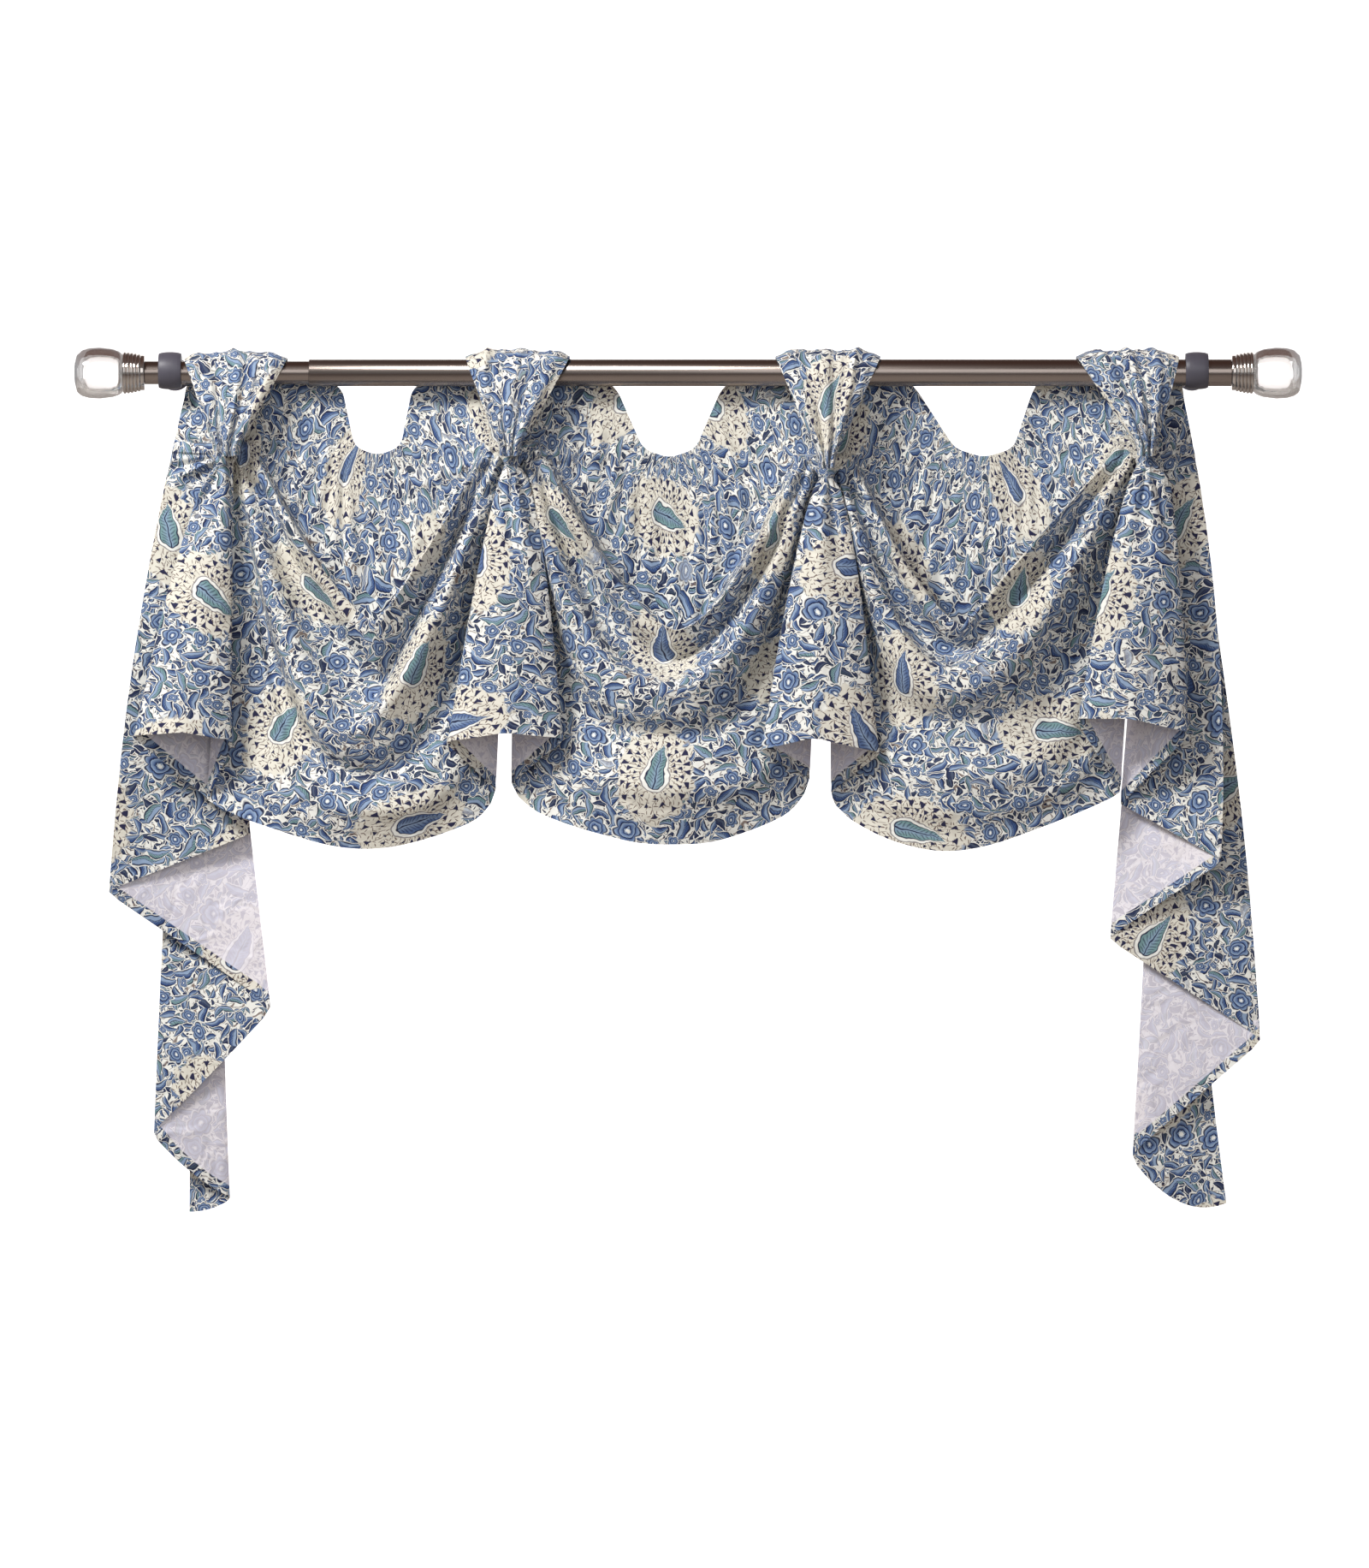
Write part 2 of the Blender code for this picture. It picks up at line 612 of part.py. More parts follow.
def tab_rows(tab):
    """A tab's rows of points from its back end over the rod and down to its gathered tip."""
    across = np.linspace(-1, 1, TAB_COLUMNS + 1)
    drop = OUTER_RADIUS - tab.radius
    crown = 1 - across**4
    controls = []
    for station in TAB_OVER_ROD:
        back = smooth_step(-station.edge_d / 12)
        narrow = narrowed(tab, station.edge_z) if station.edge_d > 0 else 0.0
        left = mix(tab.top_left, max(tab.top_left, tab.back_left), back)
        left = mix(left, tab.tip_left, narrow**tab.left_bow)
        right = mix(tab.top_right, min(tab.top_right, tab.back_right), back)
        right = mix(right, tab.tip_right, narrow**tab.right_bow)
        lowered = drop * smooth_step((station.edge_z + 5) / 8)
        row = np.stack(
            [
                mix(left, right, (across + 1) / 2),
                mix(station.edge_d, station.middle_d, crown),
                mix(station.edge_z, station.middle_z, crown) - lowered,
            ],
            axis=1,
        )
        controls.append(row)
    tip_z = tab.z - TAB_TIP_DROP
    last = TAB_OVER_ROD[-1]
    for share in TAB_FRONT_ROWS:
        z = mix(last.middle_z, tip_z, share)
        narrow = narrowed(tab, z)
        left = mix(tab.top_left, tab.tip_left, narrow**tab.left_bow)
        right = mix(tab.top_right, tab.tip_right, narrow**tab.right_bow)
        depth = mix(last.edge_d, TAB_TIP_DEPTH, share**0.8)
        crease = np.cos(TAB_CREASES * math.pi * across) * TAB_CREASE_DEPTH * share
        round_off = TAB_ROUNDING * crown * (1 - 0.3 * share)
        row = np.stack(
            [
                mix(left, right, (across + 1) / 2),
                depth + round_off + crease,
                np.full_like(across, z) - TAB_TIP_SAG * crown * share,
            ],
            axis=1,
        )
        controls.append(row)
    return spline_rows(controls, (1,) * (len(controls) - 1))


def add_tab(number, collection):
    rows = tab_rows(TABS[number])[:, ::-1]
    name = f"tab_{number + 1}"
    obj = place(name, sheet_mesh(name, [rows]), "tab", collection)
    thick = obj.modifiers.new("doubled cloth", "SOLIDIFY")
    thick.thickness = TAB_THICKNESS * MM
    thick.offset = 0
    return obj


def turned(name, profile, start_x, outwards, look, collection, steps=ROUND_STEPS):
    """A solid turned about the rod's axis from a profile of distance and radius."""
    mesh = bpy.data.meshes.new(name)
    points = [((start_x + outwards * along) * MM, 0.0, radius * MM) for along, radius in profile]
    edges = [(i, (i + 1) % len(points)) for i in range(len(points))]
    if profile[0][1] == 0.0:
        edges = edges[:-1]
    mesh.from_pydata(points, edges, [])
    obj = place(name, mesh, look, collection)
    obj.location = (0.0, -ROD_TO_WALL * MM, 0.0)
    screw = obj.modifiers.new("turn", "SCREW")
    screw.axis = "X"
    screw.steps = steps
    screw.render_steps = steps
    screw.use_merge_vertices = True
    screw.merge_threshold = 0.00001
    screw.use_normal_flip = outwards > 0
    screw.use_smooth_shade = True
    return obj


def add_rod(collection):
    left, right = OUTER_SPAN
    bore = INNER_RADIUS + GAP
    outer = (
        (SOCKET_DEPTH, 0.0), (SOCKET_DEPTH, bore), (0.0, bore), (0.0, OUTER_RADIUS),
        (right - left, OUTER_RADIUS), (right - left, 0.0),
    )
    inner_length = left + SOCKET_DEPTH - GAP - INNER_LEFT
    inner = ((0.0, 0.0), (0.0, INNER_RADIUS), (inner_length, INNER_RADIUS), (inner_length, 0.0))
    turned("rod_outer", outer, left, 1, "steel", collection)
    turned("rod_inner", inner, INNER_LEFT, 1, "steel", collection)


def add_finials(collection):
    for side, start_x, outwards in (("left", INNER_LEFT, -1), ("right", OUTER_SPAN[1], 1)):
        name = f"finial_collar_{side}"
        turned(name, COLLAR_PROFILE, start_x, outwards, "collar", collection, COLLAR_STEPS)
        name = f"finial_glass_{side}"
        turned(name, GLASS_PROFILE, start_x, outwards, "glass", collection, GLASS_STEPS)


def add_cylinder(name, radius, start, end, look, collection, sides=32):
    """A cylinder between two points of the table frame, (x, d, z)."""
    a, b = (to_world([point])[0] for point in (start, end))
    mesh = bpy.data.meshes.new(name)
    work = bmesh.new()
    bmesh.ops.create_cone(
        work, cap_ends=True, segments=sides, radius1=radius * MM, radius2=radius * MM,
        depth=float(np.linalg.norm(b - a)),
    )
    work.to_mesh(mesh)
    work.free()
    obj = place(name, mesh, look, collection)
    obj.location = (a + b) / 2
    if abs(b[1] - a[1]) > abs(b[0] - a[0]):
        obj.rotation_euler = (math.pi / 2, 0.0, 0.0)
    else:
        obj.rotation_euler = (0.0, math.pi / 2, 0.0)
    return obj


def add_cup(side, centre, bore, collection, cutters):
    """A bracket's cup, rounded on its outside, with the bore that the rod lies in."""
    half = CUP_WIDTH / 2
    crown = CUP_RADIUS - 0.3
    profile = (
        (-half, 0.0), (-half, CUP_EDGE_RADIUS), (-half * 0.6, crown), (0.0, CUP_RADIUS),
        (half * 0.6, crown), (half, CUP_EDGE_RADIUS), (half, 0.0),
    )
    cup = turned(f"bracket_cup_{side}", profile, centre, 1, "grey", collection)
    cup.location.z = CUP_RISE * MM
    start, end = (centre - CUP_WIDTH, 0.0, 0.0), (centre + CUP_WIDTH, 0.0, 0.0)
    cutter = add_cylinder(f"bore_{side}", bore, start, end, "grey", cutters)
    cutter.hide_render = True
    cutter.display_type = "WIRE"
    cut = cup.modifiers.new("bore", "BOOLEAN")
    cut.operation = "DIFFERENCE"
    cut.object = cutter


def add_brackets(collection, cutters):
    bores = (INNER_RADIUS + GAP, OUTER_RADIUS + GAP)
    plate_face = PLATE_THICKNESS - ROD_TO_WALL
    for side, centre, bore in zip(("left", "right"), CUP_CENTRES, bores):
        add_cup(side, centre, bore, collection, cutters)
        start = (centre, -(CUP_RADIUS + GAP), CUP_RISE)
        end = (centre, plate_face + GAP, CUP_RISE)
        add_cylinder(f"bracket_arm_{side}", ARM_RADIUS, start, end, "grey", collection, ARM_SIDES)
        start = (centre, plate_face, CUP_RISE)
        end = (centre, -ROD_TO_WALL, CUP_RISE)
        add_cylinder(f"wall_plate_{side}", PLATE_RADIUS, start, end, "grey", collection, PLATE_SIDES)


def main():
    for obj in list(bpy.data.objects):
        bpy.data.objects.remove(obj)
    scene = bpy.context.scene.collection
    collection = bpy.data.collections.new("window_swag")
    cutters = bpy.data.collections.new("cutters")
    scene.children.link(collection)
    scene.children.link(cutters)
    add_panel(collection)
    for number in range(len(TABS)):
        add_tab(number, collection)
    add_rod(collection)
    add_finials(collection)
    add_brackets(collection, cutters)


main()
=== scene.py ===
"""The looks of a window swag: printed cotton hung by four tabs from a nickel rod.

The cloth is one sheet that is folded by the same tables as its solid, only finer, and then
laid flat, so that the print lies on it as it would on the cut panel. Tables are in
millimetres: x along the rod, z up from its axis, and d or depth in front of its axis.
"""

import json
import math
from collections import namedtuple

import bmesh
import bpy
import numpy as np
from bpy.props import FloatProperty, FloatVectorProperty, IntProperty, PointerProperty
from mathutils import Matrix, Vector
from mathutils.kdtree import KDTree

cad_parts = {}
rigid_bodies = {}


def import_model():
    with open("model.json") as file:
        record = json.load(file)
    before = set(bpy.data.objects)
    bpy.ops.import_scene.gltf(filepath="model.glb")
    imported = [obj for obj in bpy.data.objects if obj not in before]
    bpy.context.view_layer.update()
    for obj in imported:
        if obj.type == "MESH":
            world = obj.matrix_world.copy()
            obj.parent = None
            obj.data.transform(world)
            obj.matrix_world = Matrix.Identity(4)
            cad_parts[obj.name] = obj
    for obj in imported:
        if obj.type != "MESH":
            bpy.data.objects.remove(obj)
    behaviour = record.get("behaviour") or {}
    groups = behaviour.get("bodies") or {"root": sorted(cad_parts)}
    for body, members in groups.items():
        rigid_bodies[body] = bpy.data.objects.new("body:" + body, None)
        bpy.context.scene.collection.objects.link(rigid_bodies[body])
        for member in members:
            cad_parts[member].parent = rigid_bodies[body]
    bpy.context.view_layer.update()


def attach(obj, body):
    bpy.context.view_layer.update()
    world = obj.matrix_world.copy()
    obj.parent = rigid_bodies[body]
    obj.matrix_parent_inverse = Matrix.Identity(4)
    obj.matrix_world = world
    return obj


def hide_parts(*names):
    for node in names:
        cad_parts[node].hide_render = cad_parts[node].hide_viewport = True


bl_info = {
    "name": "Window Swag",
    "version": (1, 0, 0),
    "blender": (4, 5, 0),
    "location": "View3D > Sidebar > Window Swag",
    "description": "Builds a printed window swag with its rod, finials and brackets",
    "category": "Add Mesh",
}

for startup_object in list(bpy.data.objects):
    bpy.data.objects.remove(startup_object)

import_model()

MM = 0.001
FULL_TURN = 2 * math.pi
BODY = "root"

# Rod and brackets, as in the solids
ROD_TO_WALL = 75.0
OUTER_RADIUS = 11.1
INNER_RADIUS = 9.5
OUTER_SPAN = (-310.8, 445.0)
INNER_LEFT = -445.0
SOCKET_DEPTH = 120.0
GAP = 0.3
CUP_WIDTH = 18.6
CUP_CENTRES = (-424.6, 416.8)
CUP_RADIUS = 15.4
CUP_EDGE_RADIUS = 14.3
CUP_RISE = 1.7
CUP_RIM, CUP_CROWN_PLACE, CUP_CROWN_DROP = 1.2, 0.6, 0.3
ARM_RADIUS = 5.0
PLATE_RADIUS = 13.5
PLATE_THICKNESS = 4.0

# Cloth
PANEL_TOP_DROP = 1.1
PANEL_BACK_DEPTH = -13.0
FLUTE_DEPTH = 3.0
FLUTE_PITCH = 78.0
# Two rows of the flat back: their shares of the way down, and how far they lie forward
BACK_SHARES = (0.25, 0.60)
UPPER_FORWARD, UPPER_FLUTE, LOWER_FORWARD = 0.4, 0.3, 0.30
# Rounded lines: how finely they are averaged, and a turn's greatest share of the shortest leg
ROUNDING_SAMPLES = 500
TURN_LIMIT = 0.42

# Steps across and down each part of the sheet: a coarse sheet is unwrapped, a fine one shows
Counts = namedtuple("Counts", "back folds side hem returns front layer")
COARSE = Counts((2, 3, 3), (3, 3, 3, 4, 4, 4), 10, 16, 2, 2, 5)
FINE = Counts((5, 7, 7), (8, 8, 8, 10, 10, 10), 25, 40, 5, 5, 12)

Tab = namedtuple(
    "Tab", "x z top_left top_right tip_left tip_right left_bow right_bow back_left back_right radius"
)
TABS = (
    Tab(-379, -61, -412.5, -329.0, -388.0, -367.0, 1.0, 1.05, -400.0, -325.0, INNER_RADIUS),
    Tab(-144, -61, -182.3, -97.3, -154.0, -138.0, 1.05, 1.05, -186.0, -93.0, OUTER_RADIUS),
    Tab(113, -71, 71.7, 157.4, 107.0, 119.0, 1.0, 1.0, 60.0, 160.0, OUTER_RADIUS),
    Tab(374, -61, 318.5, 401.8, 367.5, 382.0, 1.0, 1.1, 302.0, 397.0, OUTER_RADIUS),
)

# Where the middle and the two edges of a tab run, from its back end over the rod to its tip
Station = namedtuple("Station", "edge_d edge_z middle_d middle_z")
TAB_OVER_ROD = (
    Station(-15.6, -10.0, -15.6, -10.0),
    Station(-15.7, 2.0, -15.7, 2.0),
    Station(-15.3, 9.4, -15.8, 10.0),
    Station(-12.2, 12.4, -12.6, 14.0),
    Station(-6.0, 12.9, -6.0, 16.2),
    Station(0.0, 12.3, 0.0, 16.7),
    Station(6.4, 11.0, 7.5, 14.6),
    Station(11.2, 6.4, 13.2, 8.6),
    Station(13.4, -0.5, 16.0, 0.0),
)
TAB_CORNER_ROW = 5
TAB_TIP_DEPTH = 25.5
TAB_TIP_DROP = 7.0
TAB_CREASES = 3
TAB_CREASE_DEPTH = 2.0
TAB_ROUNDING = 3.0
TAB_TIP_SAG = 1.5
# Depth behind the rod at which a tab has its back width, and the heights between which a tab
# on the thinner tube comes down to it
TAB_BACK_REACH = 12
TAB_LOWERING = (5, 8)
TAB_DEPTH_POWER, TAB_FLATTENING = 0.8, 0.3
TAB_FRONT_ROWS = (0.25, 0.5, 0.72, 0.88, 1.0)
TAB_COLUMNS = 48
TAB_ROW_STEPS = 4

# Folds that start at a knot and sag across a swag: where they start and how deep they lie
Fold = namedtuple("Fold", "start_x start_z start_d side_d bottom_d")
FOLDS = (
    Fold(24.0, 4.0, 4.0, -4.0, -8.0),
    Fold(19.0, 0.0, 11.0, 24.0, 22.0),
    Fold(15.0, -3.5, 9.0, 9.0, 10.0),
    Fold(11.5, -7.0, 12.0, 24.0, 32.0),
    Fold(8.0, -10.5, 5.5, 1.0, 20.0),
    Fold(5.0, -13.5, 2.0, -4.0, 27.0),
)
# On the outer side of the first and last knot the folds flatten into the cascade
CASCADE_START_DEPTHS = (2.0, 4.0, 5.0, 5.0, 5.0, 4.0)
FOLD_SAMPLES = 240
PINCH_X, PINCH_DROP, PINCH_DEPTH = 2.5, 16.5, 3.0
PINCH_LEFT_BACK = 2.0

# The lowest point of each of those folds, and how steeply its two sides climb
Dip = namedtuple("Dip", "x z left_power right_power")
SWAGS = (
    (
        Dip(-254.0, -222.0, 1.25, 1.25),
        Dip(-255.5, -204.4, 1.4, 1.1),
        Dip(-255.0, -262.0, 1.4, 1.1),
        Dip(-272.0, -296.0, 2.2, 1.4),
        Dip(-262.0, -329.0, 3.0, 2.5),
        Dip(-262.0, -357.0, 4.0, 4.0),
    ),
    (
        Dip(-10.0, -224.0, 1.25, 1.25),
        Dip(-9.8, -212.0, 1.5, 1.6),
        Dip(-20.0, -238.0, 1.8, 1.8),
        Dip(-27.0, -261.0, 2.4, 2.3),
        Dip(-20.0, -297.5, 4.5, 3.0),
        Dip(-17.0, -339.5, 6.0, 6.0),
    ),
    (
        Dip(225.0, -225.0, 1.25, 1.25),
        Dip(224.7, -208.0, 1.5, 0.95),
        Dip(217.7, -229.0, 1.9, 1.2),
        Dip(215.6, -250.0, 2.2, 1.6),
        Dip(224.0, -290.5, 4.0, 2.5),
        Dip(225.0, -339.5, 5.0, 5.0),
    ),
)

# Each swag's hem between its two corners, as x and z
HEMS = (
    (
        (-374.0, -362.0), (-325.0, -378.5), (-288.0, -389.0),
        (-250.0, -390.5), (-210.0, -381.0), (-166.0, -364.0),
    ),
    (
        (-135.0, -355.6), (-95.0, -371.7), (-38.5, -386.4),
        (18.0, -386.0), (66.0, -369.6), (91.0, -356.0),
    ),
    (
        (121.8, -359.8), (163.0, -383.0), (207.0, -393.5),
        (246.0, -388.0), (301.0, -368.0), (345.0, -350.0),
    ),
)
HEM_SOFTENING = 20.0
HEM_MIDDLE_DEPTH = 16.0
HEM_BULGE_POWER = 0.8

# The opening under the rod between two tabs: its edges at the rod and at its foot
Opening = namedtuple("Opening", "left_top left_foot right_foot right_top bottom")
OPENING_SOFTENING = 8.0
OPENING_FOOT, OPENING_SAG = 0.9, 2.0
OPENINGS = (
    Opening(-284.0, -274.0, -236.0, -226.5, -65.5),
    Opening(-58.8, -37.0, 6.0, 27.5, -67.5),
    Opening(187.0, 219.0, 267.0, 283.5, -67.0),
)

# A box pleat's front: its two edges under the knot and at the hem, and the folds behind it
Pleat = namedtuple(
    "Pleat",
    "left_start right_start left_x left_z left_bow middle_x middle_z right_x right_z right_bow",
)
PLEATS = (
    Pleat(-387.0, -372.5, -453.6, -298.0, 0.70, -412.0, -295.0, -372.4, -302.0, 1.0),
    Pleat(-150.5, -137.5, -197.4, -303.0, 0.78, -149.8, -295.4, -101.5, -300.0, 0.54),
    Pleat(107.0, 119.5, 58.8, -309.4, 0.72, 102.0, -299.6, 156.8, -311.5, 0.60),
    Pleat(366.5, 388.0, 317.8, -284.0, 0.74, 361.0, -284.0, 410.0, -295.4, 0.45),
)
PLEAT_EDGE_DEPTH = (15.0, 27.0)
PLEAT_MIDDLE_DEPTH = (20.0, 44.0)
# A shoulder between edge and middle: its share of the way across and of the way forward
SHOULDER_ACROSS, SHOULDER_FORWARD = 0.42, 0.72

# The folds behind a pleat, where its returns meet the sheet on either side
Back = namedtuple("Back", "left_x left_z left_d left_dip right_x right_z right_d right_dip")
BACKS = (
    Back(-359.8, -378.0, -10.0, 6.0, -394.0, -350.0, 6.0, -2.0),
    Back(-158.2, -341.0, -10.0, -4.0, -144.9, -336.0, -10.0, -4.0),
    Back(99.4, -332.0, -10.0, -7.0, 117.6, -343.0, -10.0, -4.0),
    Back(354.0, -343.7, -3.0, -4.0, 355.6, -353.5, -13.0, -4.0),
)

# A cascade's folds from the pleat outwards: top, a point midway and the hem, and the layer
# that each fold ends, with how far that layer dips back and how far its hem sags
Layer = namedtuple(
    "Layer", "top_x top_d top_z mid_x mid_d mid_z hem_x hem_d hem_z dip sag"
)
LEFT_CASCADE = (
    Layer(-411.0, -13.0, -9.0, -451.5, -3.0, -210.0, -475.6, 2.0, -425.0, 5.0, 0.0),
    Layer(-395.0, -19.0, -17.0, -372.0, -23.0, -260.0, -342.3, -26.0, -520.0, 6.0, 0.0),
    Layer(-410.0, -24.0, -18.0, -425.0, -25.0, -300.0, -440.0, -25.0, -623.0, 0.0, 2.0),
    Layer(-398.0, -30.0, -18.0, -388.0, -33.0, -330.0, -376.6, -37.0, -677.6, 0.0, 6.0),
    Layer(-406.0, -35.0, -18.0, -408.0, -40.0, -340.0, -411.0, -46.0, -689.5, 0.0, 3.0),
)
RIGHT_CASCADE = (
    Layer(404.5, -13.0, -9.0, 434.0, -3.0, -200.0, 437.5, 2.0, -400.0, 2.0, 0.0),
    Layer(388.0, -19.0, -17.0, 366.0, -23.0, -240.0, 345.8, -26.0, -464.0, 4.0, 0.0),
    Layer(402.0, -24.0, -18.0, 447.3, -25.0, -292.0, 471.8, -25.0, -547.4, 0.0, 0.0),
    Layer(390.0, -30.0, -18.0, 378.0, -34.0, -400.0, 364.7, -37.0, -642.6, 0.0, 0.0),
    Layer(398.0, -35.0, -18.0, 415.0, -41.0, -420.0, 443.8, -46.0, -682.5, 0.0, 18.0),
)
# Shares of a cascade's height that lie beside the flat back and beside the knot
CASCADE_BACK, CASCADE_FAN = 0.11, 0.19
# How round the folds are at the top and at the hem, and how late a hem starts to sag
TOP_TURN, HEM_TURN = 2.5, 7.0
SAG_POWER = 8

# Finials, as distance from the rod's end and radius
COLLAR_SPAN = (3.2, 18.0)
COLLAR_FLANGE, COLLAR_BORE = 14.4, 9.2
COLLAR_RIBS, COLLAR_RIB_HEIGHT, COLLAR_RIB_POWER = 5, 1.1, 0.7
COLLAR_CHAMFER = 0.5
COLLAR_RADII = (14.0, 16.3)
GLASS_PROFILE = (
    (18.3, 0.0), (18.3, 16.4), (21.2, 18.2), (26.0, 20.0), (37.0, 21.4), (46.0, 20.9),
    (52.0, 19.2), (55.8, 16.4), (57.6, 12.4), (58.0, 7.0), (58.0, 0.0),
)
GLASS_HOLLOW = (
    (20.4, 0.0), (20.4, 15.2), (22.8, 17.4), (27.5, 18.8), (37.0, 19.6), (43.5, 19.2),
    (48.0, 17.4), (50.2, 13.6), (50.8, 8.0), (50.8, 0.0),
)
PROFILE_POINTS = 90
GLASS_SOFTENING, CUP_SOFTENING, EDGE_SOFTENING = 1.2, 3.2, 0.4

# Folds deepened, ripples along them, and wrinkles in the flat back of each swag
KNOT_SHARE = 0.24
FOLD_DEEPENING = 4.0
RIPPLE_DEPTH, RIPPLES = 1.6, 1.45
WRINKLE_DEPTH, WRINKLES = 1.3, 13.0

# Gathers that run out from each knot, as two counts of creases round it
KNOT_CREASES = ((12, 21), (13, 22), (11, 20), (13, 21))
KNOT_PHASES = (0.4, 2.1, 3.6, 5.2)
RIDGE_POWER, SECOND_RIDGE = 0.8, 0.6
KNOT_CENTRE_DROP = 6.0
KNOT_CALM, KNOT_RISE, KNOT_FADE = 7.0, 20.0, (28.0, 120.0)
KNOT_REACH_UP = 34.0
ROD_CLEARANCE = 14.0
FREE_HANG = 60.0
TAB_FOLD_DEPTH, TAB_CRUMPLE_DEPTH = 3.4, 1.3
TAB_PRINT_CENTRES = ((0.000, 0.030), (0.350, 0.105), (0.649, 0.639), (1.068, 0.300))

UNWRAP_ROUNDS = 20
EDGE_SAMPLES = 4
FLAT_MAP = "flat_cloth"
HEM_ATTRIBUTE = "to_hem"
SHARP_ANGLE = math.radians(55.0)

# The print, in millimetres: leaves, blossoms, small marks and the medallions
Leaf = namedtuple("Leaf", "pitch length width curve rim share dark shift")
LEAVES = (
    Leaf(7.2, 4.6, 1.7, 0.09, 0.52, 0.86, 0.55, (77.0, 31.0)),
    Leaf(9.5, 6.4, 2.2, -0.06, 0.58, 0.86, 0.70, (59.0, 47.0)),
    Leaf(12.5, 8.2, 2.7, 0.05, 0.66, 0.86, 0.86, (41.0, 13.0)),
    Leaf(17.0, 11.0, 3.6, -0.035, 0.72, 0.76, 1.0, (3.0, 7.0)),
)
Flower = namedtuple("Flower", "pitch radius petals share shift")
FLOWERS = (
    Flower(24.0, 5.6, 5, 0.50, (11.0, 5.0)),
    Flower(38.0, 11.5, 6, 0.80, (23.0, 61.0)),
)
Dots = namedtuple("Dots", "pitch length width share ink shift")
DOTS = (
    Dots(4.6, 1.5, 0.45, 0.80, "violet", (5.0, 90.0)),
    Dots(7.4, 0.85, 0.85, 0.55, "navy", (19.0, 35.0)),
)
HALO_SPRIGS = Dots(3.4, 1.6, 0.36, 0.90, "stem", (51.0, 9.0))
LEAF_EDGE, LEAF_GAP, LEAF_VEINS = 0.12, 0.55, 1.9
# A random share's factor and what is added to it: how a leaf or a flower is scaled
LEAF_SCALE, FLOWER_SCALE = (0.6, 0.82), (0.8, 0.85)
# How soft a printed line is, and a step that only tells two kinds apart
LINE_SOFTNESS, SHARP = 0.2, 0.01
LEAST_HALF_LEAF, RIB_WIDTH = 0.02, 0.14
BLUE_LEAVES, DARK_LEAF_STRENGTH = 0.74, 0.8
# Where the lighter half of a leaf starts and how soft its start is, in half widths
LIT_HALF = (-0.1, 0.5)
VEIN_SLANT, VEIN_WIDTH, VEIN_FADE, VEIN_STRENGTH = 1.3, (0.24, 0.2), 0.3, 0.75
FLOWER_FLATTENING, PETAL_UNEVENNESS, PETAL_DEPTH, PETAL_RINGS = 1.25, 0.7, 0.30, 2.9
# Limits and softness, as shares of a petal's ring or of the flower
PETAL_LIGHT, PETAL_LINE = (0.55, 0.6), (0.22, 0.16)
FLOWER_RIM, FLOWER_EYE, FLOWER_GAP = (0.88, 0.12), (0.15, 0.08), (1.14, 0.1)
DOT_EDGE = 0.35
WOBBLE_PITCH, WOBBLE = 13.0, 6.0
VINE_PITCH, VINE_WIDTH, VINE_STRENGTH = 34.0, 0.007, 0.85
VINE_BANDS, VINE_BAND_WIDTH, VINE_BAND_STRENGTH = 9.0, 0.05, 0.6
MEDALLION_PITCH = (118.0, 136.0)
HALO_SIZE = (28.0, 43.0)
HALO_RAGGED = (8.0, 0.34)
HALO_DROP, HALO_SCALLOP, MEDALLION_TURN = 3.0, 0.035, 0.9
BELLS, BELL_EDGE = 17, 0.4
STEM_WIDTH, STEM_START, STEM_STRENGTH = (0.22, 0.25), (0.42, 0.04), 0.8
TWIG_SLANT, TWIG_WIDTH, TWIG_LENGTH = 0.9, (0.28, 0.3), (1.6, 0.2)
# A ring of buds: how far out it is, its turn, and a bud's flare, half width, half length
Wreath = namedtuple("Wreath", "place turn flare width length sprig")
WREATHS = (
    Wreath(0.84, 0.0, 0.52, 1.50, 2.3, 5.6),
    Wreath(0.66, 0.5, 0.48, 1.20, 1.9, 4.4),
    Wreath(0.51, 0.0, 0.42, 0.90, 1.4, 3.2),
)
PAISLEY_ROUND, PAISLEY_LENGTH, PAISLEY_CURL = 7.6, 31.0, 4.0
PAISLEY_RIM, PAISLEY_GAP, PAISLEY_LINE, PAISLEY_EDGE = 0.88, 1.30, 1.42, 0.06
VEIN_PITCH = 3.1
INK_NAMES = ("cream", "halo", "navy", "violet", "blue", "sky", "teal", "stem", "grey")

# Relief of the cotton, in millimetres
HEM_WIDTH = 8.0
HEM_STEP_SHARE = 0.15
HEM_LEVELS = (0.5, 0.625, 0.75, 0.875, 1.0)
STITCH_INSET, STITCH_WIDTH, STITCH_PULL = 1.0, 0.5, 1.6
WEAVE_PITCH, WEAVE_DEPTH = 0.55, 0.10
CRUMPLE_PITCH, CRUMPLE_DEPTH = 26.0, 3.0

# Finishes: roughness, and noise scales a metre along the rod and twice across it
COTTON_ROUGHNESS, COTTON_GLOSS = 0.72, 0.32
COTTON_SHEEN, COTTON_SHEEN_ROUGHNESS = 0.12, 0.45
ROD_ROUGHNESS, ROD_GRAIN = 0.23, (30.0, 2600.0, 2600.0)
COLLAR_ROUGHNESS, COLLAR_GRAIN = 0.14, (900.0, 300.0, 300.0)
METAL_CLOUDS, METAL_DULLING = (9.0, 60.0, 60.0), 0.82
PLASTIC_CLOUDS, PLASTIC_GRAIN, PLASTIC_WEAR = (70.0,) * 3, (2400.0,) * 3, 1.35
GLASS_RIPPLES = (60.0, 90.0, 90.0)
GLASS_ROUGHNESS, GLASS_IOR, GLASS_ALPHA = 0.02, 1.44, 0.86
GLASS_TINTS = ((0.975, 0.965, 0.96), (0.92, 0.895, 0.885))

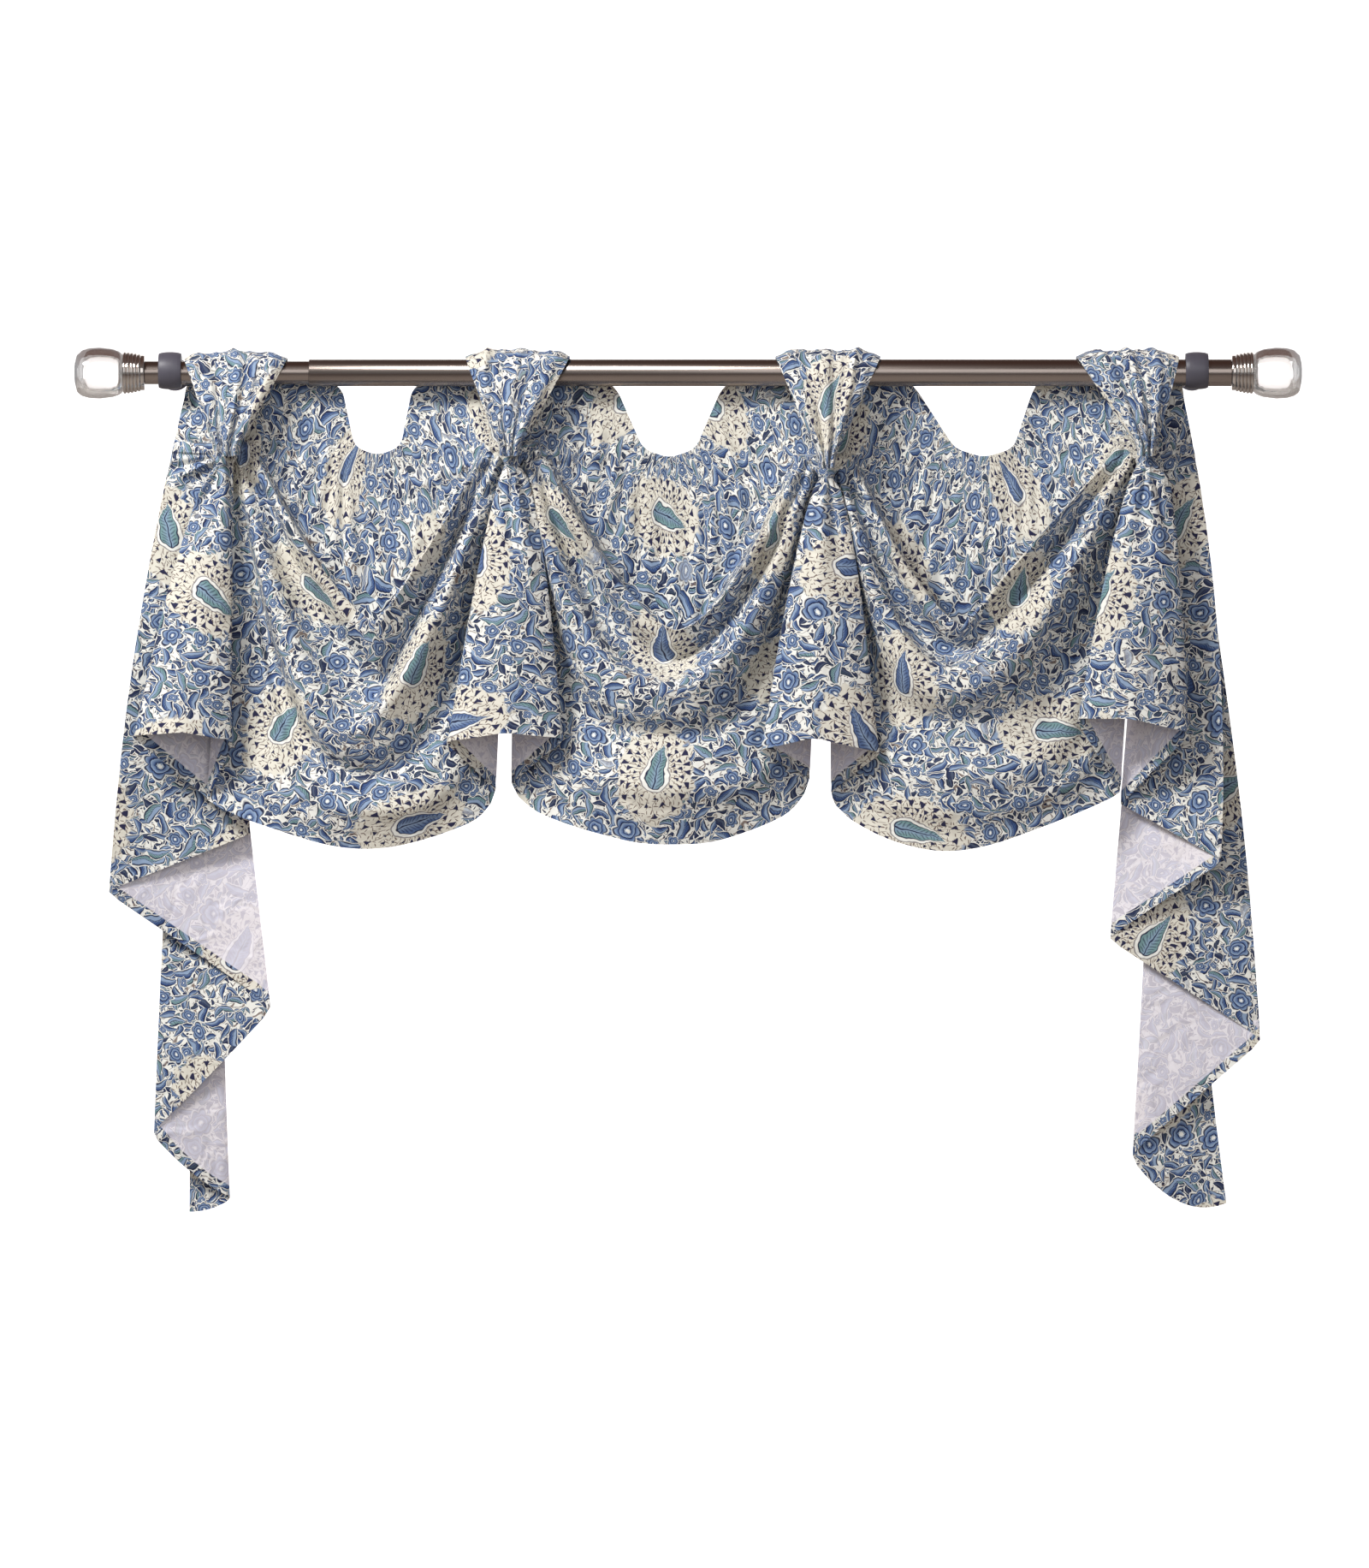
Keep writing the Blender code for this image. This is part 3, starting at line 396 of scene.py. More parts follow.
# Stage, in metres
FLOOR_Z = -1.95
FLOOR_COLOUR = (0.62, 0.59, 0.55)
FLOOR_REACH, FLOOR_FRONT = 9.5, -9.5
BACKDROP_DISTANCE, BACKDROP_REACH, BACKDROP_TOP = 9.5, 6.8, 6.8
CLOTH_CENTRE = (0.0, -0.09, -0.32)
Lamp = namedtuple("Lamp", "name place size power colour")
LAMPS = (
    Lamp("window in front", (0.3, -5.6, 1.35), (6.0, 2.8), 67.0, (0.97, 0.985, 1.0)),
    Lamp("key from the upper left", (-1.6, -1.9, 1.7), (0.9, 0.7), 90.0, (1.0, 0.995, 0.98)),
)
WORLD_FLOOR, WORLD_MIDDLE, WORLD_TOP = (0.34, 0.30, 0.26), (0.60, 0.60, 0.62), (0.30, 0.17, 0.14)
WORLD_MIDDLE_PLACE = 0.56
SENSOR_WIDTH = 36.0
CAMERA_X, CAMERA_Z = -0.003, -0.337
CAMERA_DISTANCE = 8.0
CLOTH_FRONT = 0.09
VIEW_HEIGHT = 1.2824
DIFFUSE_BOUNCES = 2


# Folds of the sheet, as in its solid


def smooth_step(t):
    """0 to 1 as t goes from 0 to 1, level at both ends."""
    t = np.clip(t, 0, 1)
    return t * t * (3 - 2 * t)


def mix(a, b, t):
    """The value at share t of the way from a to b."""
    return a + (b - a) * t


def spline_rows(controls, steps):
    """Rows through the control rows, smooth across them, steps[i] of them from row i to i + 1."""
    controls = np.asarray(controls, float)
    chord = np.linalg.norm(np.diff(controls, axis=0), axis=2, keepdims=True).clip(1e-6)
    slope = np.diff(controls, axis=0) / chord
    tangent = np.empty_like(controls)
    tangent[0], tangent[-1] = slope[0], slope[-1]
    tangent[1:-1] = (slope[:-1] * chord[1:] + slope[1:] * chord[:-1]) / (chord[:-1] + chord[1:])
    rows = [controls[:1]]
    for i, count in enumerate(steps):
        t = np.linspace(0, 1, count + 1)[1:, None, None]
        rows.append(
            (2 * t**3 - 3 * t**2 + 1) * controls[i]
            + (t**3 - 2 * t**2 + t) * chord[i] * tangent[i]
            + (3 * t**2 - 2 * t**3) * controls[i + 1]
            + (t**3 - t**2) * chord[i] * tangent[i + 1]
        )
    return np.concatenate(rows)


def reach_along(line):
    """How far along the line each of its points is."""
    return np.concatenate([[0], np.cumsum(np.linalg.norm(np.diff(line, axis=0), axis=1))])


def lengths_along(line):
    """How far along the line each of its points is, as a share of its length."""
    reach = reach_along(line)
    return reach / reach[-1]


def rounded(corners, places, turn):
    """The polyline through the corners, averaged over turn either way, at the given places."""
    reach = reach_along(corners)
    fine = np.linspace(0, reach[-1], ROUNDING_SAMPLES)
    line = np.stack([np.interp(fine, reach, corners[:, k]) for k in range(3)], axis=1)
    step = fine[1] - fine[0]
    area = np.concatenate([[np.zeros(3)], np.cumsum((line[1:] + line[:-1]) / 2 * step, axis=0)])
    at = np.asarray(places) * reach[-1]
    half = np.minimum(turn, np.minimum(at, reach[-1] - at))
    end = half < 1e-6
    half = np.where(end, 1.0, half)
    out = np.empty((len(at), 3))
    for k in range(3):
        spread = np.interp(at + half, fine, area[:, k]) - np.interp(at - half, fine, area[:, k])
        out[:, k] = np.where(end, np.interp(at, reach, corners[:, k]), spread / (2 * half))
    return out


def soft_row(corners, counts, turn):
    """A row of points along the corners, counts[i] steps in each leg, its turns rounded."""
    corners = np.asarray(corners, float)
    legs = np.linalg.norm(np.diff(corners, axis=0), axis=1)
    turn = min(turn, TURN_LIMIT * legs.min())
    for _ in range(2):
        reach = np.concatenate([[0], np.cumsum(legs)])
        met = rounded(corners, reach / reach[-1], turn)
        pushed = corners + 0.5 * (corners - met)
        pushed[0], pushed[-1] = corners[0], corners[-1]
        legs = np.linalg.norm(np.diff(pushed, axis=0), axis=1)
    reach = np.concatenate([[0], np.cumsum(legs)]) / legs.sum()
    places = [np.array([0.0])]
    for i, count in enumerate(counts):
        places.append(np.linspace(reach[i], reach[i + 1], count + 1)[1:])
    return rounded(pushed, np.concatenate(places), turn)


def panel_top(tab):
    """The height of the panel's top edge behind a tab."""
    return tab.radius - PANEL_TOP_DROP


def knot_side(number, side):
    """The points where the folds leave a knot on one side (-1 left, 1 right), from the top edge down."""
    tab = TABS[number]
    edge_x = tab.back_left if side < 0 else tab.back_right
    top = np.array([edge_x, PANEL_BACK_DEPTH, panel_top(tab)])
    depths = [fold.start_d for fold in FOLDS]
    if (number, side) in ((0, -1), (len(TABS) - 1, 1)):
        depths = CASCADE_START_DEPTHS
    folds = [
        np.array([tab.x + side * fold.start_x, depth, tab.z + fold.start_z])
        for fold, depth in zip(FOLDS, depths)
    ]
    return [top, *back_points(top, folds[0], 0.0), *folds, pinch(number, side)]


def back_points(top, valley, flute):
    """Two points between the top edge and the uppermost fold, held back behind the rod."""
    upper, lower = (mix(top, valley, share) for share in BACK_SHARES)
    upper[1] = PANEL_BACK_DEPTH + UPPER_FORWARD + UPPER_FLUTE * flute
    lower[1] = mix(PANEL_BACK_DEPTH, valley[1], LOWER_FORWARD) + flute
    return upper, lower


def pinch(number, side):
    """Where a pleat's back fold leaves the knot."""
    tab = TABS[number]
    depth = PINCH_DEPTH if side > 0 else PINCH_DEPTH - PINCH_LEFT_BACK
    return np.array([tab.x + side * PINCH_X, depth, tab.z - PINCH_DROP])


def back_fold(number, side, down):
    """The back fold of a pleat from the knot to the hem, at the shares of its height."""
    start, back = pinch(number, side), BACKS[number]
    if side < 0:
        foot = np.array([back.left_x, back.left_d, back.left_z])
    else:
        foot = np.array([back.right_x, back.right_d, back.right_z])
    line = mix(start, foot, np.asarray(down)[:, None])
    line[:, 1] = mix(start[1], foot[1], 1 - (1 - np.asarray(down)) ** 2)
    return line


def sagging_fold(start, end, dip, fold, places):
    """A fold that sags from one knot to the next through its lowest point."""
    half = np.linspace(0, 1, FOLD_SAMPLES)
    sides = []
    for tip, power in ((start, dip.left_power), (end, dip.right_power)):
        x = mix(dip.x, tip[0], half)
        z = tip[2] + (dip.z - tip[2]) * (1 - half**power)
        sides.append(np.stack([x, z], axis=1))
    line = np.concatenate([sides[0][::-1], sides[1][1:]])
    reach = lengths_along(line)
    bottom = reach[len(half) - 1]
    away = np.where(places < bottom, (bottom - places) / bottom, (places - bottom) / (1 - bottom))
    depth = np.where(
        away < 0.5,
        mix(fold.bottom_d, fold.side_d, smooth_step(away * 2)),
        mix(fold.side_d, fold.start_d, smooth_step(away * 2 - 1)),
    )
    x, z = (np.interp(places, reach, line[:, k]) for k in range(2))
    return np.stack([x, depth, z], axis=1)


def swag_edge(number, counts):
    """The lower edge of a swag's grid: down one back fold, along the hem and up the next."""
    down = np.linspace(0, 1, counts.side + 1)
    left, right = back_fold(number, 1, down), back_fold(number + 1, -1, down)
    corners = [left[-1], *[(x, 0.0, z) for x, z in HEMS[number]], right[-1]]
    corners = np.array([tuple(corner) for corner in corners])
    share = lengths_along(corners[:, [0, 2]])
    bulge = np.sin(math.pi * share) ** HEM_BULGE_POWER
    ends = mix(left[-1][1], right[-1][1], share)
    corners[:, 1] = mix(ends, HEM_MIDDLE_DEPTH, bulge)
    places = np.linspace(0, 1, counts.hem + 1)
    hem = rounded(corners, places, HEM_SOFTENING)
    return np.concatenate([left[:-1], hem, right[::-1][1:]])


def top_edge(number, places):
    """The panel's top edge from one tab down under the rod and up to the next."""
    left, right, cut = TABS[number], TABS[number + 1], OPENINGS[number]
    under = -(OUTER_RADIUS + PANEL_TOP_DROP)
    foot = mix(under, cut.bottom, OPENING_FOOT)
    middle = (cut.left_foot + cut.right_foot) / 2
    corners = [
        (left.back_right, PANEL_BACK_DEPTH, panel_top(left)),
        (cut.left_top, PANEL_BACK_DEPTH, under),
        (cut.left_foot, PANEL_BACK_DEPTH, foot),
        (middle, PANEL_BACK_DEPTH, cut.bottom - OPENING_SAG),
        (cut.right_foot, PANEL_BACK_DEPTH, foot),
        (cut.right_top, PANEL_BACK_DEPTH, under),
        (right.back_left, PANEL_BACK_DEPTH, panel_top(right)),
    ]
    return rounded(np.array(corners, float), places, OPENING_SOFTENING)


def swag_grid(number, counts):
    """One swag with the flat part of the panel above it, from the top edge to the hem."""
    edge = swag_edge(number, counts)
    places = lengths_along(edge)
    starts, ends = knot_side(number, 1), knot_side(number + 1, -1)
    first_fold = len(counts.back)
    folds = [
        sagging_fold(starts[first_fold + i], ends[first_fold + i], dip, FOLDS[i], places)
        for i, dip in enumerate(SWAGS[number])
    ]
    top = top_edge(number, places)
    window = np.sin(math.pi * places)
    flutes = FLUTE_DEPTH * window * np.sin(2 * math.pi * top[:, 0] / FLUTE_PITCH + number)
    upper, lower = np.empty_like(top), np.empty_like(top)
    for i, flute in enumerate(flutes):
        upper[i], lower[i] = back_points(top[i], folds[0][i], flute)
    return spline_rows([top, upper, lower, *folds, edge], counts.back + counts.folds)


def knot_columns(number, counts):
    """Both side columns of a knot's grid, from the panel's top edge down to the pinch."""
    steps = counts.back + counts.folds
    return [
        spline_rows([point[None] for point in knot_side(number, side)], steps)[:, 0] for side in (-1, 1)
    ]


def pleat_corners(number, down):
    """The two edges and the middle of a pleat's front at a share of its height."""
    tab, pleat = TABS[number], PLEATS[number]
    start_z = tab.z - PINCH_DROP
    edge_d, middle_d = mix(*PLEAT_EDGE_DEPTH, down), mix(*PLEAT_MIDDLE_DEPTH, down)
    middle_start = (pleat.left_start + pleat.right_start) / 2
    left = (
        mix(pleat.left_start, pleat.left_x, down**pleat.left_bow),
        edge_d,
        mix(start_z, pleat.left_z, down),
    )
    middle = (mix(middle_start, pleat.middle_x, down), middle_d, mix(start_z, pleat.middle_z, down))
    right = (
        mix(pleat.right_start, pleat.right_x, down**pleat.right_bow),
        edge_d,
        mix(start_z, pleat.right_z, down),
    )
    return np.array(left), np.array(middle), np.array(right)


def pleat_row(left, right, front, dips, turn, counts):
    """A row across a box pleat: back fold, return, front, return, back fold."""
    left_edge, middle, right_edge = front
    shoulders = []
    for edge in (left_edge, right_edge):
        shoulder = mix(edge, middle, SHOULDER_ACROSS)
        shoulder[1] = mix(edge[1], middle[1], SHOULDER_FORWARD)
        shoulders.append(shoulder)
    returns = []
    for fold, edge, dip in ((left, left_edge, dips[0]), (right, right_edge, dips[1])):
        point = mix(edge, fold, 0.5)
        point[1] -= dip
        returns.append(point)
    corners = [
        left, returns[0], left_edge, shoulders[0], middle,
        shoulders[1], right_edge, returns[1], right,
    ]
    steps = (counts.returns,) * 2 + (counts.front,) * 4 + (counts.returns,) * 2
    return soft_row(corners, steps, turn)


def knot_grid(number, counts):
    """The panel behind a tab: flat at its top edge, gathered to a small box pleat at the pinch."""
    left, right = knot_columns(number, counts)
    first = sum(counts.back)
    last = len(left) - 1
    front = pleat_corners(number, 0.0)
    rows = []
    for i in range(len(left)):
        gathered = smooth_step((i - first) / (last - first))
        flat = [mix(left[i], right[i], share) for share in (0.25, 0.5, 0.75)]
        corners = [mix(a, b, gathered) for a, b in zip(flat, front)]
        rows.append(pleat_row(left[i], right[i], corners, (0.0, 0.0), TOP_TURN, counts))
    return np.array(rows)


def pleat_grid(number, counts):
    """The box pleat that hangs under a tab."""
    down = np.linspace(0, 1, counts.side + 1)
    left, right = back_fold(number, -1, down), back_fold(number, 1, down)
    back = BACKS[number]
    rows = []
    for i, share in enumerate(down):
        front = pleat_corners(number, share)
        dips = (back.left_dip * share, back.right_dip * share)
        turn = mix(TOP_TURN, HEM_TURN, share)
        rows.append(pleat_row(left[i], right[i], front, dips, turn, counts))
    return np.array(rows)


def through_three(top, mid, hem, down):
    """A smooth line by height through a fold's top, midway point and hem."""
    place = (mid[2] - top[2]) / (hem[2] - top[2])
    from_top = (down - place) * (down - 1) / place
    from_mid = down * (down - 1) / (place * (place - 1))
    from_hem = down * (down - place) / (1 - place)
    return from_top * top + from_mid * mid + from_hem * hem


def cascade_grid(number, side, layers, counts):
    """The folded end of the panel, outwards from the knot and pleat beside it."""
    column = knot_columns(number, counts)[0 if side < 0 else 1]
    down = np.linspace(0, 1, counts.side + 1)
    inner = np.concatenate([column, back_fold(number, side, down)[1:]])
    beside_back = np.linspace(0, CASCADE_BACK, sum(counts.back) + 1)
    beside_folds = np.linspace(CASCADE_BACK, CASCADE_FAN, sum(counts.folds) + 1)
    heights = np.concatenate([beside_back, beside_folds[1:], mix(CASCADE_FAN, 1.0, down[1:])])
    rows = []
    for point, share in zip(inner, heights):
        corners = [point]
        for layer in layers:
            top = np.array([layer.top_x, layer.top_d, layer.top_z])
            mid = np.array([layer.mid_x, layer.mid_d, layer.mid_z])
            hem = np.array([layer.hem_x, layer.hem_d, layer.hem_z])
            corners.append(through_three(top, mid, hem, share))
        steps = (counts.layer,) * len(layers)
        row = soft_row(corners, steps, mix(TOP_TURN, HEM_TURN, share))
        within = np.linspace(0, 1, counts.layer + 1)
        bow = 4 * within * (1 - within)
        for i, layer in enumerate(layers):
            leg = slice(i * counts.layer, (i + 1) * counts.layer + 1)
            row[leg, 1] -= layer.dip * share * bow
            row[leg, 2] -= layer.sag * share**SAG_POWER * bow
        rows.append(row)
    return np.array(rows)


def narrowed(tab, z):
    """How far a tab has narrowed at a height, from its corners on the rod (0) to its knot (1)."""
    corner = TAB_OVER_ROD[TAB_CORNER_ROW].edge_z
    return min(1.0, (corner - z) / (corner - tab.z))


def tab_rows(tab):
    """A tab's rows of points from its back end over the rod and down to its gathered tip."""
    across = np.linspace(-1, 1, TAB_COLUMNS + 1)
    drop = OUTER_RADIUS - tab.radius
    crown = 1 - across**4
    controls = []
    for station in TAB_OVER_ROD:
        back = smooth_step(-station.edge_d / TAB_BACK_REACH)
        narrow = narrowed(tab, station.edge_z) if station.edge_d > 0 else 0.0
        left = mix(tab.top_left, max(tab.top_left, tab.back_left), back)
        left = mix(left, tab.tip_left, narrow**tab.left_bow)
        right = mix(tab.top_right, min(tab.top_right, tab.back_right), back)
        right = mix(right, tab.tip_right, narrow**tab.right_bow)
        lowered = drop * smooth_step((station.edge_z + TAB_LOWERING[0]) / TAB_LOWERING[1])
        row = np.stack(
            [
                mix(left, right, (across + 1) / 2),
                mix(station.edge_d, station.middle_d, crown),
                mix(station.edge_z, station.middle_z, crown) - lowered,
            ],
            axis=1,
        )
        controls.append(row)
    tip_z = tab.z - TAB_TIP_DROP
    last = TAB_OVER_ROD[-1]
    for share in TAB_FRONT_ROWS:
        z = mix(last.middle_z, tip_z, share)
        narrow = narrowed(tab, z)
        left = mix(tab.top_left, tab.tip_left, narrow**tab.left_bow)
        right = mix(tab.top_right, tab.tip_right, narrow**tab.right_bow)
        depth = mix(last.edge_d, TAB_TIP_DEPTH, share**TAB_DEPTH_POWER)
        crease = np.cos(TAB_CREASES * math.pi * across) * TAB_CREASE_DEPTH * share
        round_off = TAB_ROUNDING * crown * (1 - TAB_FLATTENING * share)
        row = np.stack(
            [
                mix(left, right, (across + 1) / 2),
                depth + round_off + crease,
                np.full_like(across, z) - TAB_TIP_SAG * crown * share,
            ],
            axis=1,
        )
        controls.append(row)
    return spline_rows(controls, (TAB_ROW_STEPS,) * (len(controls) - 1))


# Laying the cloth flat


def corner_table(mesh):
    """The vertex and the edge of each face corner."""
    vertex, edge = np.empty(len(mesh.loops), int), np.empty(len(mesh.loops), int)
    mesh.loops.foreach_get("vertex_index", vertex)
    mesh.loops.foreach_get("edge_index", edge)
    return vertex, edge


def open_edge(mesh):
    """The pairs of vertices along the sheet's open edge."""
    _, edge = corner_table(mesh)
    uses = np.bincount(edge, minlength=len(mesh.edges))
    ends = np.empty(len(mesh.edges) * 2, int)
    mesh.edges.foreach_get("vertices", ends)
    return ends.reshape(-1, 2)[uses == 1]


def laid_flat(mesh):
    """Where each vertex of the hung sheet lies on the flat cloth, in metres."""
    obj = bpy.data.objects.new("laid_flat", mesh)
    bpy.context.scene.collection.objects.link(obj)
    bpy.context.view_layer.objects.active = obj
    obj.select_set(True)
    layer = mesh.uv_layers.new(name="flat").name
    bpy.ops.object.mode_set(mode="EDIT")
    bpy.ops.mesh.select_all(action="SELECT")
    bpy.ops.uv.unwrap(
        method="MINIMUM_STRETCH", iterations=UNWRAP_ROUNDS, no_flip=True, margin=0.0
    )
    bpy.ops.object.mode_set(mode="OBJECT")
    places = np.empty(len(mesh.loops) * 2)
    mesh.uv_layers[layer].data.foreach_get("uv", places)
    vertex, _ = corner_table(mesh)
    flat = np.zeros((len(mesh.vertices), 2))
    flat[vertex] = places.reshape(-1, 2)
    starts = np.empty(len(mesh.polygons), int)
    mesh.polygons.foreach_get("loop_start", starts)
    ring = flat[vertex[starts[:, None] + np.arange(4)]]
    across, down = ring[:, 2] - ring[:, 0], ring[:, 3] - ring[:, 1]
    flat_area = abs(np.sum(across[:, 0] * down[:, 1] - across[:, 1] * down[:, 0])) / 2
    hung_area = sum(face.area for face in mesh.polygons)
    bpy.data.objects.remove(obj)
    return flat * math.sqrt(hung_area / flat_area)


def turned_upright(flat, left, right):
    """The flat places with the line from one point to another laid along x, from the left one."""
    along = (flat[right] - flat[left]) / np.linalg.norm(flat[right] - flat[left])
    across = np.array([-along[1], along[0]])
    return np.stack([(flat - flat[left]) @ along, (flat - flat[left]) @ across], axis=1)


def read_finer(values, shape):
    """A coarse grid of values read at the rows and columns of a finer one."""
    rows = np.linspace(0, values.shape[0] - 1, shape[0])
    columns = np.linspace(0, values.shape[1] - 1, shape[1])
    top = rows.astype(int).clip(0, values.shape[0] - 2)
    left = columns.astype(int).clip(0, values.shape[1] - 2)
    down, across = (rows - top)[:, None, None], (columns - left)[None, :, None]
    upper = mix(values[np.ix_(top, left)], values[np.ix_(top, left + 1)], across)
    lower = mix(values[np.ix_(top + 1, left)], values[np.ix_(top + 1, left + 1)], across)
    return mix(upper, lower, down)


def distance_to_edge(flat, edge):
    """How far each flat place lies from the sheet's open edge, in metres."""
    near = KDTree(len(edge) * EDGE_SAMPLES)
    count = 0
    for share in np.arange(EDGE_SAMPLES) / EDGE_SAMPLES:
        for x, y in mix(flat[edge[:, 0]], flat[edge[:, 1]], share):
            near.insert((x, y, 0.0), count)
            count += 1
    near.balance()
    return np.array([near.find((x, y, 0.0))[2] for x, y in flat])


# Creases and folds too small for the tables. The plain numbers in their sines only keep
# neighbours from looking alike


def gathers(x, z):
    """Creases that run out from each knot, as a share of their full depth."""
    depth = np.zeros_like(x)
    for tab, counts, phase in zip(TABS, KNOT_CREASES, KNOT_PHASES):
        dx, dz = x - tab.x, z - (tab.z - KNOT_CENTRE_DROP)
        away = np.hypot(dx, dz)
        turn = np.arctan2(dx, -dz)
        sharp = 1 - 2 * np.abs(np.sin(counts[0] * turn / 2 + phase)) ** RIDGE_POWER
        ridge = sharp + SECOND_RIDGE * np.sin(counts[1] * turn + 2.3 * phase)
        rise = smooth_step((away - KNOT_CALM) / KNOT_RISE)
        fade = 1 - smooth_step((away - KNOT_FADE[0]) / (KNOT_FADE[1] - KNOT_FADE[0]))
        depth += rise * fade * ridge * smooth_step((KNOT_REACH_UP - dz) / KNOT_REACH_UP)
    return depth


def rippled(grid, counts, number):
    """A swag's grid with its folds deepened, ripples along them and wrinkles in its flat back."""
    steps = counts.back + counts.folds
    fold = [i + np.linspace(0, 1, count + 1)[1:] for i, count in enumerate(steps)]
    fold = np.concatenate([[0.0], *fold])[:, None] - len(counts.back)
    place = lengths_along(grid[-1])[None, :]
    middle = smooth_step(place / KNOT_SHARE) * smooth_step((1 - place) / KNOT_SHARE)
    folded = smooth_step((fold + 0.6) / 0.6) * (1 - smooth_step((fold - 5.2) / 0.8))
    swing = math.pi * (fold - 1)
    depth = FOLD_DEEPENING * (np.cos(swing) - 0.25 * np.cos(2 * swing))
    drift = 2.2 * np.sin(2 * math.pi * place + number) + 1.9 * number
    depth = depth + RIPPLE_DEPTH * np.sin(RIPPLES * 2 * math.pi * fold + drift)
    behind = smooth_step(fold + 2.4) * (1 - smooth_step((fold - 0.2) / 1.2))
    wander = 1.4 * np.sin(2.1 * fold + number) + 2.0 * np.sin(7.0 * place + number)
    wrinkle = WRINKLE_DEPTH * np.sin(2 * math.pi * WRINKLES * place + wander)
    out = grid.copy()
    out[..., 1] += middle * (folded * depth + behind * wrinkle)
    return out


def unevenness(x, z, phase):
    """A slow, uneven swell of the cloth, as a share of its full depth."""
    return (
        np.sin(x / 41.0 + 1.3 * np.sin(z / 67.0 + phase) + phase)
        + 0.7 * np.sin(z / 53.0 - x / 88.0 + 2.1 * phase)
        + 0.45 * np.sin(x / 19.0 + z / 31.0 + 3.7 * phase)
    )


def creased(points):
    """The sheet's points with the small creases added to their depth."""
    settings = bpy.context.scene.window_swag_cloth
    x, depth, z = points.T
    free = smooth_step((-z - ROD_CLEARANCE) / FREE_HANG)
    gathered = gathers(x, z) * settings.gather_depth / MM
    swell = free * unevenness(x, z, 0.7) * settings.swell_depth / MM
    return np.stack([x, depth + free * gathered + swell, z], axis=1)


def crumpled_tab(rows, number):
    """A tab's rows pushed outwards in soft creases that narrow towards its tip."""
    count, columns = rows.shape[:2]
    across = np.linspace(-1, 1, columns)[None, :]
    down = np.linspace(0, 1, count)[:, None]
    wander = across * (8.0 + number) + 1.1 * np.sin(down * 7.0 + number * 2.0)
    crease = (1 - np.abs(np.sin(wander / 2))) ** 1.3
    crease = crease + 0.5 * (1 - np.abs(np.sin(1.15 * wander + number))) ** 1.5
    crumple = 0.5 + 0.5 * np.sin(across * 5.0 + down * 19.0 + number * 1.7)
    edge = 1 - across**6
    push = edge * (TAB_FOLD_DEPTH * crease * smooth_step(down * 1.6) + TAB_CRUMPLE_DEPTH * crumple)
    outwards = rows * np.array([0.0, 1.0, 1.0])
    outwards[..., 2] = np.maximum(outwards[..., 2], 0.0)
    outwards /= np.linalg.norm(outwards, axis=2, keepdims=True)
    return rows + outwards * push[..., None]


# Meshes


def to_world(points):
    """Table millimetres (x, depth, z) as metres in front of the wall."""
    x, depth, z = np.asarray(points).T
    return np.stack([x, -(ROD_TO_WALL + depth), z], axis=1) * MM


def panel_grids(counts):
    """All the grids of the panel, from its left end to its right one."""
    last = len(TABS) - 1
    grids = [cascade_grid(0, -1, LEFT_CASCADE, counts)[:, ::-1]]
    for number in range(len(TABS)):
        grids += [knot_grid(number, counts), pleat_grid(number, counts)]
        if number < last:
            grids.append(rippled(swag_grid(number, counts), counts, number))
    grids.append(cascade_grid(last, 1, RIGHT_CASCADE, counts))
    return grids


def stitched(grids):
    """The points of the grids with shared ones made one, and the number of each grid's points."""
    points = np.concatenate([grid.reshape(-1, 3) for grid in grids])
    _, first, numbers = np.unique(
        np.round(points, 3), axis=0, return_index=True, return_inverse=True
    )
    ends = np.cumsum([grid.shape[0] * grid.shape[1] for grid in grids])
    parts = np.split(numbers.reshape(-1), ends[:-1])
    return points[first], [part.reshape(grid.shape[:2]) for part, grid in zip(parts, grids)]


def sheet_mesh(name, points, numbers):
    """An open mesh of quads through the numbered points of each grid."""
    faces = np.concatenate([
        np.stack([n[:-1, :-1], n[1:, :-1], n[1:, 1:], n[:-1, 1:]], axis=-1).reshape(-1, 4)
        for n in numbers
    ])
    mesh = bpy.data.meshes.new(name)
    mesh.from_pydata(to_world(points).tolist(), [], faces.tolist())
    mesh.shade_smooth()
    return mesh


def set_flat_places(mesh, flat, hem):
    """Keeps each vertex's place on the flat cloth as a UV map, and its distance to the hem."""
    layer = mesh.uv_layers.new(name=FLAT_MAP)
    vertex, _ = corner_table(mesh)
    layer.data.foreach_set("uv", flat[vertex].astype(np.float32).ravel())
    attribute = mesh.attributes.new(HEM_ATTRIBUTE, "FLOAT", "POINT")
    attribute.data.foreach_set("value", hem.astype(np.float32))


def thicken(obj, hem, thickness, hem_width):
    """Gives the sheet its thickness, twice that where the hem is turned up."""
    group = obj.vertex_groups.new(name="turned_up")
    turned_up = 1 - smooth_step((hem - hem_width) / (HEM_STEP_SHARE * hem_width))
    weights = 0.5 + 0.5 * turned_up
    for level in HEM_LEVELS:
        chosen = np.nonzero(np.abs(weights - level) <= (HEM_LEVELS[1] - HEM_LEVELS[0]) / 2)[0]
        if len(chosen):
            group.add(chosen.tolist(), level, "REPLACE")
    solid = obj.modifiers.new("cloth", "SOLIDIFY")
    solid.thickness = 2 * thickness
    solid.offset = 0
    solid.vertex_group = group.name
    solid.material_offset = 1


